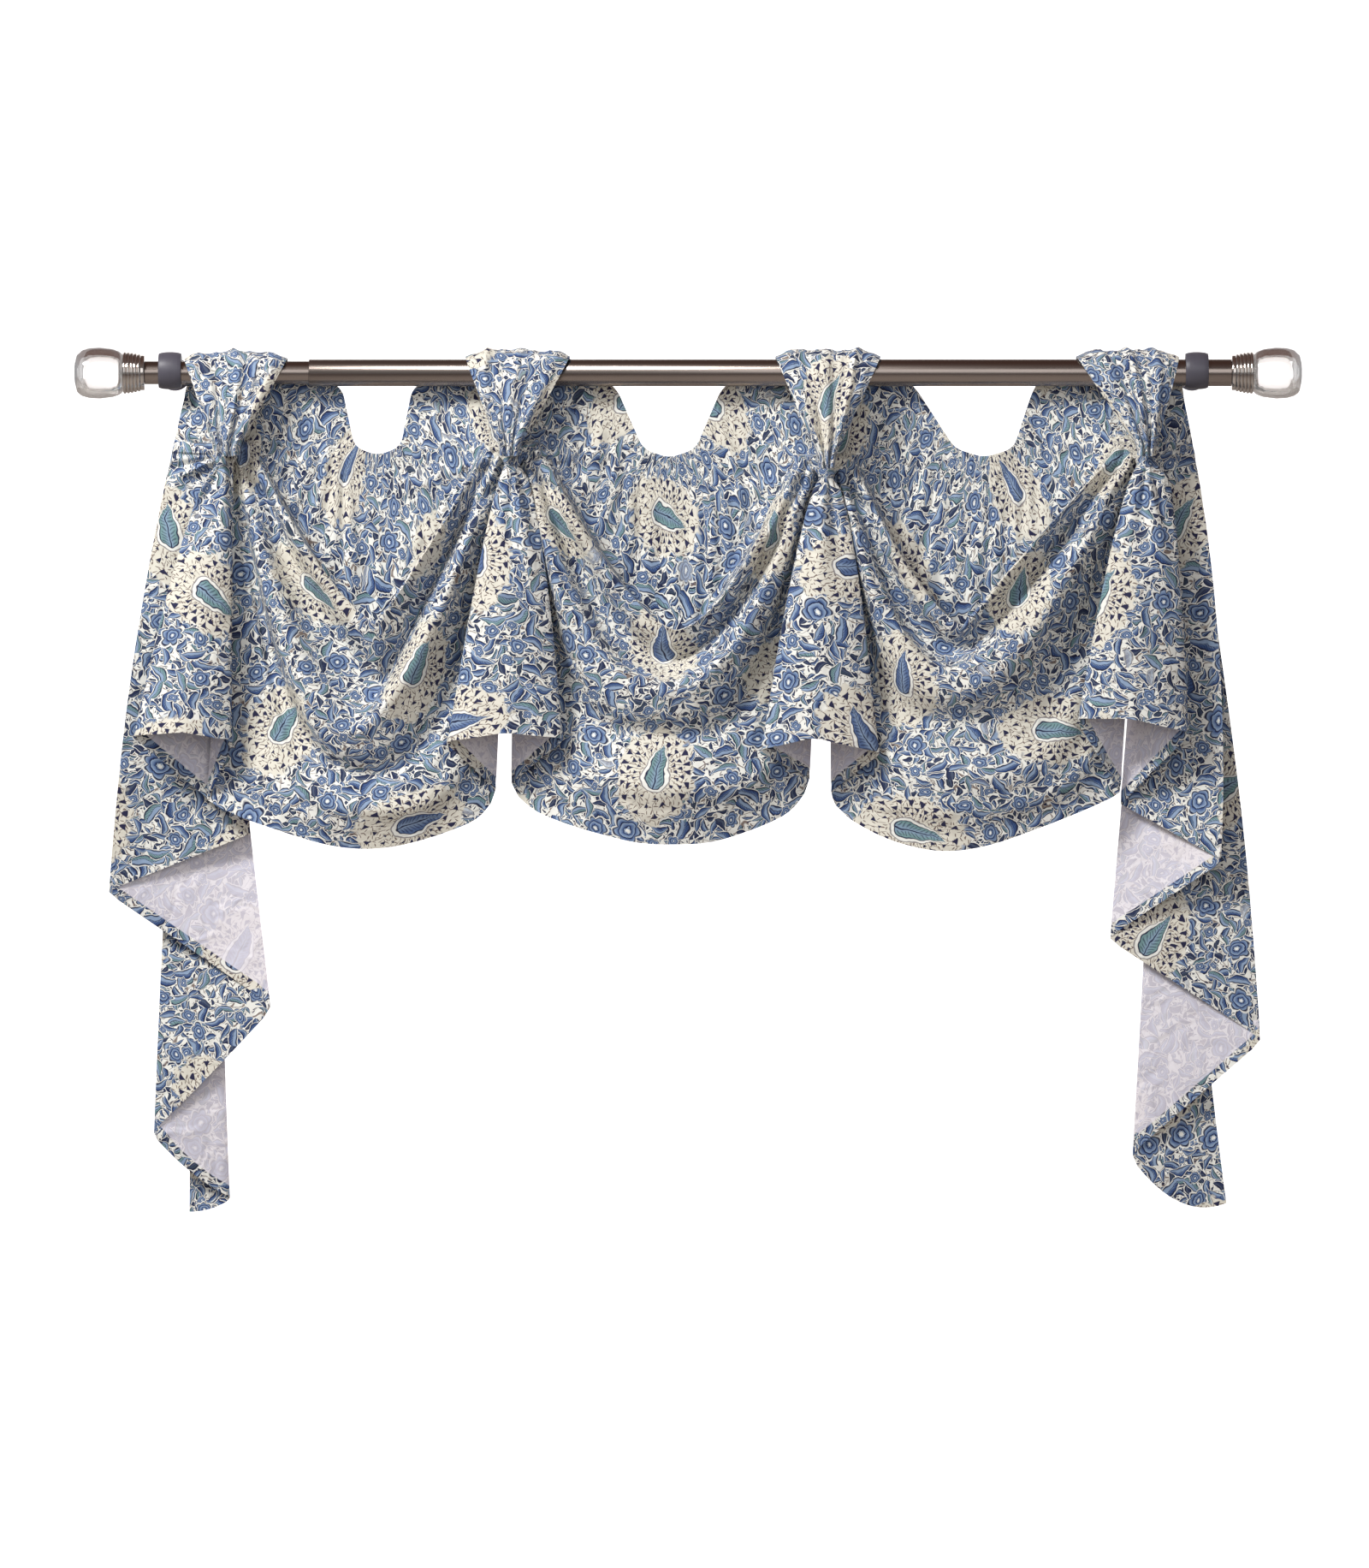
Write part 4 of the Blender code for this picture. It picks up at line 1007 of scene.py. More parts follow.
def panel_mesh():
    """The fine sheet, the flat place of each of its vertices, and their distance to the hem."""
    coarse_points, coarse_numbers = stitched(panel_grids(COARSE))
    flat = laid_flat(sheet_mesh("coarse_panel", coarse_points, coarse_numbers))
    left_corner = coarse_numbers[1][0, 0]
    right_corner = coarse_numbers[-3][0, -1]
    flat = turned_upright(flat, left_corner, right_corner)
    points, numbers = stitched(panel_grids(FINE))
    fine_flat = np.zeros((len(points), 2))
    for coarse, fine in zip(coarse_numbers, numbers):
        fine_flat[fine] = read_finer(flat[coarse], fine.shape)
    mesh = sheet_mesh("printed_panel", creased(points), numbers)
    return mesh, fine_flat, distance_to_edge(fine_flat, open_edge(mesh))


def tab_mesh(number):
    """A tab's sheet and the flat place of each of its points."""
    tab = TABS[number]
    rows = crumpled_tab(tab_rows(tab), number)
    columns = rows.shape[1]
    down = reach_along(rows[:, columns // 2])
    half_width = (tab.top_right - tab.top_left) / 2
    across = np.linspace(-half_width, half_width, columns)
    flat = np.stack(np.broadcast_arrays(across[None, :], -down[:, None]), axis=-1) * MM
    flat = flat.reshape(-1, 2) + np.array(TAB_PRINT_CENTRES[number])
    points, numbers = stitched([rows])
    flat_places = np.zeros((len(points), 2))
    flat_places[numbers[0].reshape(-1)] = flat
    mesh = sheet_mesh(f"tab_cloth_{number + 1}", points, numbers)
    return mesh, flat_places, distance_to_edge(flat_places, open_edge(mesh))


# Nodes


def from_hex(code):
    """A colour written as six hex digits, in linear light."""
    channels = [int(code[i : i + 2], 16) / 255 for i in (0, 2, 4)]
    return tuple(c / 12.92 if c <= 0.04045 else ((c + 0.055) / 1.055) ** 2.4 for c in channels)


def feed(tree, socket, given):
    """Links a node's socket to a value, or sets it to a plain number or colour."""
    if isinstance(given, Value):
        tree.links.new(given.socket, socket)
    elif hasattr(given, "__len__") and len(given) == 3 and len(socket.default_value) == 4:
        socket.default_value = (*given, 1.0)
    else:
        socket.default_value = given


class Value:
    """What a node gives out, with the arithmetic that adds the next Math node."""

    def __init__(self, tree, socket):
        self.tree = tree
        self.socket = socket

    def math(self, operation, *others, clamp=False):
        node = self.tree.nodes.new("ShaderNodeMath")
        node.operation = operation
        node.use_clamp = clamp
        for socket, given in zip(node.inputs, (self, *others)):
            feed(self.tree, socket, given)
        return Value(self.tree, node.outputs[0])

    def __add__(self, other):
        return self.math("ADD", other)

    def __sub__(self, other):
        return self.math("SUBTRACT", other)

    def __mul__(self, other):
        return self.math("MULTIPLY", other)

    def __truediv__(self, other):
        return self.math("DIVIDE", other)

    def size(self):
        return self.math("ABSOLUTE")

    def squared(self):
        return self.math("MULTIPLY", self)

    def times_plus(self, factor, plus):
        return self.math("MULTIPLY_ADD", factor, plus)

    def at_least(self, other):
        return self.math("MAXIMUM", other)

    def at_most(self, other):
        return self.math("MINIMUM", other)

    def below(self, limit, soft):
        """1 where the value is under the limit, 0 where it is over it, with a soft step."""
        return self.math("MULTIPLY_ADD", -1.0 / soft, limit / soft + 0.5, clamp=True)

    def above(self, limit, soft):
        """1 where the value is over the limit, 0 where it is under it, with a soft step."""
        return self.math("MULTIPLY_ADD", 1.0 / soft, 0.5 - limit / soft, clamp=True)


def vector(tree, operation, first, second):
    """The result of a vector operation on two vectors, or on a vector and a scale."""
    node = tree.nodes.new("ShaderNodeVectorMath")
    node.operation = operation
    feed(tree, node.inputs[0], first)
    feed(tree, node.inputs["Scale" if operation == "SCALE" else 1], second)
    return Value(tree, node.outputs[0])


def parts_of(tree, both):
    """The x and y of a vector."""
    node = tree.nodes.new("ShaderNodeSeparateXYZ")
    feed(tree, node.inputs[0], both)
    return Value(tree, node.outputs[0]), Value(tree, node.outputs[1])


def joined(tree, x, y):
    """A vector from its x and y."""
    node = tree.nodes.new("ShaderNodeCombineXYZ")
    feed(tree, node.inputs[0], x)
    feed(tree, node.inputs[1], y)
    return Value(tree, node.outputs[0])


def turned_by(tree, place, angle):
    """A vector turned in its plane."""
    node = tree.nodes.new("ShaderNodeVectorRotate")
    node.rotation_type = "Z_AXIS"
    feed(tree, node.inputs["Vector"], place)
    feed(tree, node.inputs["Angle"], angle)
    return Value(tree, node.outputs[0])


def painted(tree, ground, colour, share):
    """One colour laid over another by a share."""
    node = tree.nodes.new("ShaderNodeMix")
    node.data_type = "RGBA"
    for socket, given in zip([s for s in node.inputs if s.type == "RGBA"], (ground, colour)):
        feed(tree, socket, given)
    feed(tree, node.inputs[0], share)
    return Value(tree, node.outputs["Result" if node.outputs[0].type == "RGBA" else 2])


def noise(tree, place, scale, detail=2.0, distortion=0.0):
    """Smooth noise over a plane: its value and its colour."""
    node = tree.nodes.new("ShaderNodeTexNoise")
    node.noise_dimensions = "2D"
    feed(tree, node.inputs["Vector"], place)
    node.inputs["Scale"].default_value = scale
    node.inputs["Detail"].default_value = detail
    node.inputs["Distortion"].default_value = distortion
    return Value(tree, node.outputs[0]), Value(tree, node.outputs[1])


def scattered(tree, place, pitch, shift, evenness=0.25):
    """Where a point lies from the nearest of many scattered centres, with two random shares."""
    moved = vector(tree, "ADD", place, (*shift, 0.0))
    node = tree.nodes.new("ShaderNodeTexVoronoi")
    node.voronoi_dimensions = "2D"
    feed(tree, node.inputs["Vector"], moved)
    node.inputs["Scale"].default_value = 1.0 / pitch
    node.inputs["Randomness"].default_value = 1.0 - evenness
    from_centre = vector(tree, "SUBTRACT", moved, Value(tree, node.outputs["Position"]))
    colour = tree.nodes.new("ShaderNodeSeparateColor")
    tree.links.new(node.outputs["Color"], colour.inputs[0])
    return from_centre, Value(tree, colour.outputs[0]), Value(tree, colour.outputs[1])


# The print, in millimetres of flat cloth


def flat_place(tree):
    """A point's place on the flat cloth, in millimetres."""
    flat = tree.nodes.new("ShaderNodeUVMap")
    flat.uv_map = FLAT_MAP
    return vector(tree, "MULTIPLY", Value(tree, flat.outputs[0]), (1 / MM,) * 3)


def redrawn(share, factor):
    """A further random share, drawn from one share."""
    return (share * factor).math("FRACT")


def leaf_layer(tree, ground, place, leaf, inks):
    """Curved two-tone leaves with a dark outline, a rib and veins, in a pale gap."""
    from_centre, turn, kind = scattered(tree, place, leaf.pitch, leaf.shift)
    from_centre = vector(tree, "SCALE", from_centre, redrawn(kind, 13.0).times_plus(*LEAF_SCALE))
    x, y = parts_of(tree, turned_by(tree, from_centre, turn * FULL_TURN))
    bent = y + x.squared() * leaf.curve
    half_width = (x.squared() * (-leaf.width / leaf.length**2)).math("ADD", leaf.width)
    half_width = half_width.at_least(LEAST_HALF_LEAF)
    share = bent.size() / half_width
    there = kind.below(leaf.share, SHARP)
    gap = (bent.size() - half_width).below(LEAF_GAP, LINE_SOFTNESS)
    ground = painted(tree, ground, inks["cream"], gap * there)
    blue = painted(tree, inks["blue"], inks["teal"], redrawn(kind, 7.0).above(BLUE_LEAVES, SHARP))
    lit = bent.above(LIT_HALF[0] * leaf.width, LIT_HALF[1] * leaf.width)
    body = painted(tree, blue, inks["sky"], lit)
    dark = redrawn(kind, 11.0).above(leaf.dark, SHARP) * DARK_LEAF_STRENGTH
    body = painted(tree, body, inks["navy"], dark)
    veins = ((x - bent.size() * VEIN_SLANT) / LEAF_VEINS).math("FRACT").below(*VEIN_WIDTH)
    body = painted(tree, body, inks["navy"], veins * bent.below(0.0, VEIN_FADE) * VEIN_STRENGTH)
    body = painted(tree, body, inks["navy"], share.above(leaf.rim, LINE_SOFTNESS))
    body = painted(tree, body, inks["navy"], bent.size().below(RIB_WIDTH, LINE_SOFTNESS))
    return painted(tree, ground, body, share.below(1.0, LEAF_EDGE) * there)


def flower_layer(tree, ground, place, flower, inks):
    """Round blossoms with petals, scattered over the ground."""
    from_centre, turn, kind = scattered(tree, place, flower.pitch, flower.shift)
    from_centre = vector(tree, "SCALE", from_centre, redrawn(kind, 17.0).times_plus(*FLOWER_SCALE))
    x, y = parts_of(tree, turned_by(tree, from_centre, turn * FULL_TURN))
    y = y * FLOWER_FLATTENING
    away = (x.squared() + y.squared()).math("SQRT")
    angle = y.math("ARCTAN2", x)
    lobes = angle * (flower.petals / 2) + angle.math("SINE") * PETAL_UNEVENNESS
    lobes = lobes.math("COSINE").size()
    reach = lobes.times_plus(PETAL_DEPTH * flower.radius, (1 - PETAL_DEPTH) * flower.radius)
    share = away / reach
    petals = (share * PETAL_RINGS + lobes * 0.5).math("FRACT")
    body = painted(tree, inks["blue"], inks["sky"], petals.above(*PETAL_LIGHT))
    body = painted(tree, body, inks["navy"], petals.below(*PETAL_LINE))
    body = painted(tree, body, inks["navy"], share.above(*FLOWER_RIM))
    body = painted(tree, body, inks["cream"], share.below(*FLOWER_EYE))
    halo = share.below(*FLOWER_GAP) * kind.below(flower.share, SHARP)
    ground = painted(tree, ground, inks["cream"], halo)
    return painted(tree, ground, body, share.below(1.0, 0.1) * kind.below(flower.share, SHARP))


def vine_layer(tree, ground, place, inks):
    """Thin stems that wander over the cloth."""
    _, colour = noise(tree, place, 1.0 / VINE_PITCH, detail=1.0)
    first, second = parts_of(tree, colour)
    for wave in (first, second):
        line = (wave - 0.5).size().below(VINE_WIDTH, VINE_WIDTH)
        ground = painted(tree, ground, inks["stem"], line * VINE_STRENGTH)
        bands = (wave * VINE_BANDS).math("FRACT")
        band = (bands - 0.5).size().below(VINE_BAND_WIDTH, VINE_BAND_WIDTH)
        ground = painted(tree, ground, inks["stem"], band * VINE_BAND_STRENGTH)
    return ground


def medallion_place(tree, place):
    """A point's place in its medallion, turned as the medallion is, and the medallion's chance."""
    u, v = parts_of(tree, place)
    column = (u / MEDALLION_PITCH[0]).math("FLOOR")
    half_drop = (column * 0.5).math("FRACT")
    v_share = (v / MEDALLION_PITCH[1]) + half_drop
    row = v_share.math("FLOOR")
    x = ((u / MEDALLION_PITCH[0]).math("FRACT") - 0.5) * MEDALLION_PITCH[0]
    y = (v_share.math("FRACT") - 0.5) * MEDALLION_PITCH[1]
    random = tree.nodes.new("ShaderNodeTexWhiteNoise")
    random.noise_dimensions = "2D"
    feed(tree, random.inputs["Vector"], joined(tree, column + 0.5, row + 0.5))
    chance = Value(tree, random.outputs["Value"])
    lying = ((column + row * 2.0) * (1 / 3)).math("FRACT").above(0.5, SHARP)
    angle = lying.times_plus(math.pi / 2, (chance - 0.5) * MEDALLION_TURN)
    x, y = parts_of(tree, turned_by(tree, joined(tree, x, y), angle))
    return x, y, chance


def medallion(tree, ground, place, inks):
    """A pale oval with a paisley in it and a wreath of bell-shaped buds on stems."""
    x, y, chance = medallion_place(tree, place)
    away = (x.squared() + y.squared()).math("SQRT")
    halo = (x / HALO_SIZE[0]).squared() + ((y + HALO_DROP) / HALO_SIZE[1]).squared()
    halo = halo.math("SQRT")
    spoke = y.math("ARCTAN2", x) * (BELLS / FULL_TURN)
    wave = (spoke * FULL_TURN).math("COSINE")
    ragged, _ = noise(tree, place, 1 / HALO_RAGGED[0], detail=1.0)
    edge = halo - wave * HALO_SCALLOP + (ragged - 0.5) * HALO_RAGGED[1]
    inside = edge.below(1.0, 0.05)
    ground = painted(tree, ground, inks["halo"], inside)
    ground = dot_layer(tree, ground, place, HALO_SPRIGS, inks, inside)
    for ring in WREATHS:
        turned_spoke = spoke + ring.turn
        off = turned_spoke - turned_spoke.math("ROUND")
        side = (off * away) * (FULL_TURN / BELLS)
        out = (halo - ring.place) * away / halo.at_least(0.05)
        stem = side.size().below(*STEM_WIDTH) * out.below(0.0, 0.3) * halo.above(*STEM_START)
        ground = painted(tree, ground, inks["stem"], stem * STEM_STRENGTH)
        flare = out.times_plus(ring.flare, ring.width)
        bell = (side.size() - flare).below(0.0, BELL_EDGE) * out.size().below(ring.length, BELL_EDGE)
        ground = painted(tree, ground, inks["violet"], bell)
        twig = (side.size() - (out + ring.sprig) * TWIG_SLANT).size().below(*TWIG_WIDTH)
        sprig = twig * (out + ring.sprig + 1.0).size().below(*TWIG_LENGTH)
        ground = painted(tree, ground, inks["stem"], sprig * STEM_STRENGTH)
    return paisley(tree, ground, x, y, chance, inks)


def paisley(tree, ground, x, y, chance, inks):
    """The curved drop in the middle of a medallion."""
    up = ((y + PAISLEY_ROUND) / PAISLEY_LENGTH).at_least(0.0).at_most(1.0)
    half = (up.math("POWER", 2.0) * -PAISLEY_ROUND).math("ADD", PAISLEY_ROUND).at_least(0.2)
    side = (x - up.squared() * PAISLEY_CURL) / half
    low = (y + PAISLEY_ROUND).at_most(0.0) / PAISLEY_ROUND
    over = (y - (PAISLEY_LENGTH - PAISLEY_ROUND)).at_least(0.0)
    share = (side.squared() + low.squared()).math("SQRT") + over * 0.6
    fill = painted(tree, inks["sky"], inks["blue"], side.size().above(0.35, 0.5) * 0.8)
    green = painted(tree, inks["teal"], inks["sky"], side.size().below(0.4, 0.5) * 0.7)
    fill = painted(tree, fill, green, chance.above(0.5, SHARP))
    veins = ((y - (x - up.squared() * PAISLEY_CURL).size() * 0.8) / VEIN_PITCH).math("FRACT")
    vein = (veins - 0.5).size().below(0.19, 0.12) * (side.size() - 0.48).size().below(0.27, 0.1)
    fill = painted(tree, fill, inks["navy"], vein * 0.6)
    fill = painted(tree, fill, inks["navy"], side.size().below(0.07, 0.06))
    fill = painted(tree, fill, inks["navy"], share.above(PAISLEY_RIM, 0.08))
    for ink, reach in (("grey", PAISLEY_LINE), ("cream", PAISLEY_GAP)):
        ground = painted(tree, ground, inks[ink], share.below(reach, PAISLEY_EDGE))
    return painted(tree, ground, fill, share.below(1.0, PAISLEY_EDGE))


def dot_layer(tree, ground, place, dots, inks, where=None):
    """Small dots, or short dashes where they are longer than wide, all over or in one place."""
    from_centre, turn, kind = scattered(tree, place, dots.pitch, dots.shift)
    x, y = parts_of(tree, turned_by(tree, from_centre, turn * FULL_TURN))
    share = ((x / dots.length).squared() + (y / dots.width).squared()).math("SQRT")
    shown = share.below(1.0, DOT_EDGE) * kind.below(dots.share, SHARP)
    return painted(tree, ground, inks[dots.ink], shown * where if where else shown)


def print_group():
    """A node group that gives the colour of the printed cotton at its flat place."""
    found = bpy.data.node_groups.get("printed cotton")
    if found:
        return found
    settings = bpy.context.scene.window_swag_cloth
    inks = {name: tuple(getattr(settings, name)) for name in INK_NAMES}
    tree = bpy.data.node_groups.new("printed cotton", "ShaderNodeTree")
    tree.interface.new_socket("Colour", in_out="OUTPUT", socket_type="NodeSocketColor")
    place = flat_place(tree)
    _, wobble = noise(tree, place, 1 / WOBBLE_PITCH, detail=2.0)
    wobble = vector(tree, "MULTIPLY", vector(tree, "SUBTRACT", wobble, (0.5,) * 3), (WOBBLE,) * 3)
    drawn = vector(tree, "ADD", place, wobble)
    colour = vine_layer(tree, inks["cream"], drawn, inks)
    for dots in DOTS:
        colour = dot_layer(tree, colour, drawn, dots, inks)
    for leaf in LEAVES:
        colour = leaf_layer(tree, colour, drawn, leaf, inks)
    for flower in FLOWERS:
        colour = flower_layer(tree, colour, drawn, flower, inks)
    colour = medallion(tree, colour, drawn, inks)
    out = tree.nodes.new("NodeGroupOutput")
    tree.links.new(colour.socket, out.inputs[0])
    return tree


# Finishes


def new_material(name):
    """An empty material with its shader, or nothing more where it exists already."""
    found = bpy.data.materials.get(name)
    if found:
        return found, None
    made = bpy.data.materials.new(name)
    made.use_nodes = True
    return made, made.node_tree.nodes["Principled BSDF"]


def bump(tree, shader, height, distance, strength, below=None):
    """Feeds a height to the shader's normal, over another bump where one is given."""
    node = tree.nodes.new("ShaderNodeBump")
    node.inputs["Strength"].default_value = strength
    node.inputs["Distance"].default_value = distance
    feed(tree, node.inputs["Height"], height)
    if below:
        tree.links.new(below.outputs[0], node.inputs["Normal"])
    tree.links.new(node.outputs[0], shader.inputs["Normal"])
    return node


def cloth_relief(tree, shader, to_hem):
    """Crumple, weave and the row of stitches along the hem."""
    place = flat_place(tree)
    crumple, _ = noise(tree, place, 1 / CRUMPLE_PITCH, detail=2.0, distortion=0.6)
    first = bump(tree, shader, crumple, CRUMPLE_DEPTH * MM, 1.0)
    u, v = parts_of(tree, place)
    threads = [(way * (FULL_TURN / WEAVE_PITCH)).math("SINE") for way in (u, v)]
    weave = threads[0] * threads[1]
    line = (to_hem - HEM_WIDTH + STITCH_INSET).size().below(STITCH_WIDTH, 0.5)
    height = weave * 0.5 - line * STITCH_PULL
    bump(tree, shader, height, WEAVE_DEPTH * MM, 0.6, first)


def hem_distance(tree):
    """How far the cloth's edge is, in millimetres."""
    node = tree.nodes.new("ShaderNodeAttribute")
    node.attribute_name = HEM_ATTRIBUTE
    return Value(tree, node.outputs["Fac"]) * (1 / MM)


def print_colour(tree):
    """The colour of the print."""
    cotton = tree.nodes.new("ShaderNodeGroup")
    cotton.node_tree = print_group()
    return Value(tree, cotton.outputs[0])


def printed_cotton():
    """The printed side of the cotton."""
    made, shader = new_material("printed cotton")
    if shader:
        tree = made.node_tree
        tree.links.new(print_colour(tree).socket, shader.inputs["Base Color"])
        finish_cotton(tree, shader)
    return made


def reverse_cotton():
    """The pale back of the cotton, where the print shows through, with the printed hem turned up."""
    made, shader = new_material("back of the printed cotton")
    if shader:
        tree = made.node_tree
        front = print_colour(tree)
        pale = tuple(bpy.context.scene.window_swag_cloth.reverse)
        through = bpy.context.scene.window_swag_cloth.show_through
        back = painted(tree, pale, front, through)
        hem = hem_distance(tree).below(HEM_WIDTH, 0.6)
        tree.links.new(painted(tree, back, front, hem).socket, shader.inputs["Base Color"])
        finish_cotton(tree, shader)
    return made


def finish_cotton(tree, shader):
    """The dull gloss, sheen and relief of both sides of the cotton."""
    shader.inputs["Roughness"].default_value = COTTON_ROUGHNESS
    shader.inputs["Specular IOR Level"].default_value = COTTON_GLOSS
    shader.inputs["Sheen Weight"].default_value = COTTON_SHEEN
    shader.inputs["Sheen Roughness"].default_value = COTTON_SHEEN_ROUGHNESS
    cloth_relief(tree, shader, hem_distance(tree))


def object_place(tree):
    """A point's place in its object."""
    node = tree.nodes.new("ShaderNodeTexCoord")
    return Value(tree, node.outputs["Object"])


def solid_noise(tree, place, stretch, detail):
    """Noise in space, stretched by three scales."""
    node = tree.nodes.new("ShaderNodeTexNoise")
    feed(tree, node.inputs["Vector"], vector(tree, "MULTIPLY", place, stretch))
    node.inputs["Scale"].default_value = 1.0
    node.inputs["Detail"].default_value = detail
    return Value(tree, node.outputs[0])


def brushed_metal(name, colour, roughness, grain):
    """Plated steel with fine marks along the rod and slight clouding."""
    made, shader = new_material(name)
    if shader:
        tree = made.node_tree
        place = object_place(tree)
        cloud = solid_noise(tree, place, METAL_CLOUDS, 3.0)
        dull = tuple(channel * METAL_DULLING for channel in colour)
        tree.links.new(painted(tree, colour, dull, cloud).socket, shader.inputs["Base Color"])
        shader.inputs["Metallic"].default_value = 1.0
        rough = cloud.times_plus(0.10, roughness - 0.05)
        tree.links.new(rough.socket, shader.inputs["Roughness"])
        marks = solid_noise(tree, place, grain, 2.0)
        bump(tree, shader, marks, 0.03 * MM, 0.25)
    return made


def satin_plastic(name, colour):
    """The grey plastic of the brackets, with a fine moulded grain."""
    made, shader = new_material(name)
    if shader:
        tree = made.node_tree
        place = object_place(tree)
        cloud = solid_noise(tree, place, PLASTIC_CLOUDS, 4.0)
        worn = tuple(min(1.0, channel * PLASTIC_WEAR) for channel in colour)
        tree.links.new(painted(tree, colour, worn, cloud).socket, shader.inputs["Base Color"])
        rough = cloud.times_plus(0.16, 0.36)
        tree.links.new(rough.socket, shader.inputs["Roughness"])
        grain = solid_noise(tree, place, PLASTIC_GRAIN, 2.0)
        bump(tree, shader, grain, 0.05 * MM, 0.3)
    return made


def clear_glass():
    """Clear glass with faint ripples and a slightly warm body."""
    made, shader = new_material("clear glass")
    if shader:
        tree = made.node_tree
        place = object_place(tree)
        ripple = solid_noise(tree, place, GLASS_RIPPLES, 2.0)
        tint = painted(tree, GLASS_TINTS[0], GLASS_TINTS[1], ripple)
        tree.links.new(tint.socket, shader.inputs["Base Color"])
        shader.inputs["Roughness"].default_value = GLASS_ROUGHNESS
        shader.inputs["IOR"].default_value = GLASS_IOR
        shader.inputs["Alpha"].default_value = GLASS_ALPHA
        shader.inputs["Transmission Weight"].default_value = 1.0
        bump(tree, shader, ripple, 0.4 * MM, 0.3)
    return made


# Pieces


def place_piece(name, mesh, materials, slot, *nodes):
    """Puts a mesh in the scene as the piece that stands for the named solids."""
    obj = bpy.data.objects.new(name, mesh)
    bpy.context.scene.collection.objects.link(obj)
    for material in materials:
        mesh.materials.append(material)
    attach(obj, BODY)
    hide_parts(*nodes)
    return obj


def settled(obj):
    """Applies the piece's modifiers, and keeps sharp edges sharp."""
    graph = bpy.context.evaluated_depsgraph_get()
    mesh = bpy.data.meshes.new_from_object(obj.evaluated_get(graph))
    old = obj.data
    obj.modifiers.clear()
    obj.data = mesh
    bpy.data.meshes.remove(old)
    mesh.set_sharp_from_angle(angle=SHARP_ANGLE)


def sheet_size(mesh, flat):
    """A sheet's area, and the width and length that it was cut to."""
    area = sum(face.area for face in mesh.polygons)
    return area, (flat.max(axis=0) - flat.min(axis=0)).tolist()


def add_panel():
    """The whole printed panel: three swags, four box pleats and two cascades."""
    settings = bpy.context.scene.window_swag_cloth
    mesh, flat, hem = panel_mesh()
    set_flat_places(mesh, flat, hem)
    area, size = sheet_size(mesh, flat)
    panel = place_piece(
        "printed_panel", mesh, (printed_cotton(), reverse_cotton()), "printed_cotton", "swag_panel"
    )
    thicken(panel, hem, settings.thickness, HEM_WIDTH * MM)
    settled(panel)


def add_tabs():
    """The four tabs over the rod, of doubled cloth."""
    settings = bpy.context.scene.window_swag_cloth
    for number in range(len(TABS)):
        mesh, flat, hem = tab_mesh(number)
        set_flat_places(mesh, flat, hem)
        area, size = sheet_size(mesh, flat)
        tab = place_piece(
            f"tab_cloth_{number + 1}", mesh, (printed_cotton(),), "printed_cotton", f"tab_{number + 1}"
        )
        solid = tab.modifiers.new("doubled cloth", "SOLIDIFY")
        solid.thickness = settings.tab_thickness
        solid.offset = 0
        settled(tab)


def softened(profile, turn):
    """A turned profile with its corners rounded."""
    corners = np.array([(along, radius, 0.0) for along, radius in profile])
    return rounded(corners, np.linspace(0, 1, PROFILE_POINTS), turn)[:, :2]


def collar_profile():
    """A collar: a flange against the rod, then round ribs that widen towards the glass."""
    left, right = COLLAR_SPAN
    share = np.linspace(0, 1, PROFILE_POINTS)
    ribs = np.abs(np.sin(math.pi * COLLAR_RIBS * share)) ** COLLAR_RIB_POWER
    radius = mix(*COLLAR_RADII, np.sin(share * math.pi / 2)) + COLLAR_RIB_HEIGHT * ribs
    ribbed = list(zip(mix(left, right, share), radius))
    flange = [
        (GAP, COLLAR_BORE), (GAP, COLLAR_FLANGE - COLLAR_CHAMFER),
        (GAP + COLLAR_CHAMFER, COLLAR_FLANGE), (left, COLLAR_FLANGE),
    ]
    return [*flange, *ribbed, (right, COLLAR_BORE), flange[0]]


def finished_mesh(name, work):
    """The worked faces as a mesh, smooth but for its sharp edges."""
    mesh = bpy.data.meshes.new(name)
    work.to_mesh(mesh)
    work.free()
    mesh.shade_smooth()
    mesh.set_sharp_from_angle(angle=SHARP_ANGLE)
    return mesh


def turned_mesh(name, profiles, steps, to_place):
    """Surfaces turned about an axis: each profile runs from the axis outwards and back to it."""
    work = bmesh.new()
    angles = np.arange(steps) * (FULL_TURN / steps)
    for profile in profiles:
        rings = []
        for along, radius in profile:
            if radius < 1e-6:
                rings.append([work.verts.new(to_place(along, 0.0, 0.0))] * steps)
                continue
            ring = [(along, radius * math.sin(a), radius * math.cos(a)) for a in angles]
            rings.append([work.verts.new(to_place(*point)) for point in ring])
        for near, far in zip(rings[:-1], rings[1:]):
            for i in range(steps):
                corners = (near[i], near[i - 1], far[i - 1], far[i])
                corners = list(dict.fromkeys(corners))
                if len(corners) > 2:
                    work.faces.new(corners)
    return finished_mesh(name, work)


def along_rod(start_x, outwards):
    """Turns distance along the rod and a place across it into metres in the room."""

    def to_place(along, across, up):
        return (start_x + outwards * along) * MM, -(ROD_TO_WALL + across * outwards) * MM, up * MM

    return to_place


def from_wall(centre):
    """Turns distance from the wall and a place across into metres in the room."""

    def to_place(along, across, up):
        return (centre + across) * MM, -along * MM, (CUP_RISE + up) * MM

    return to_place


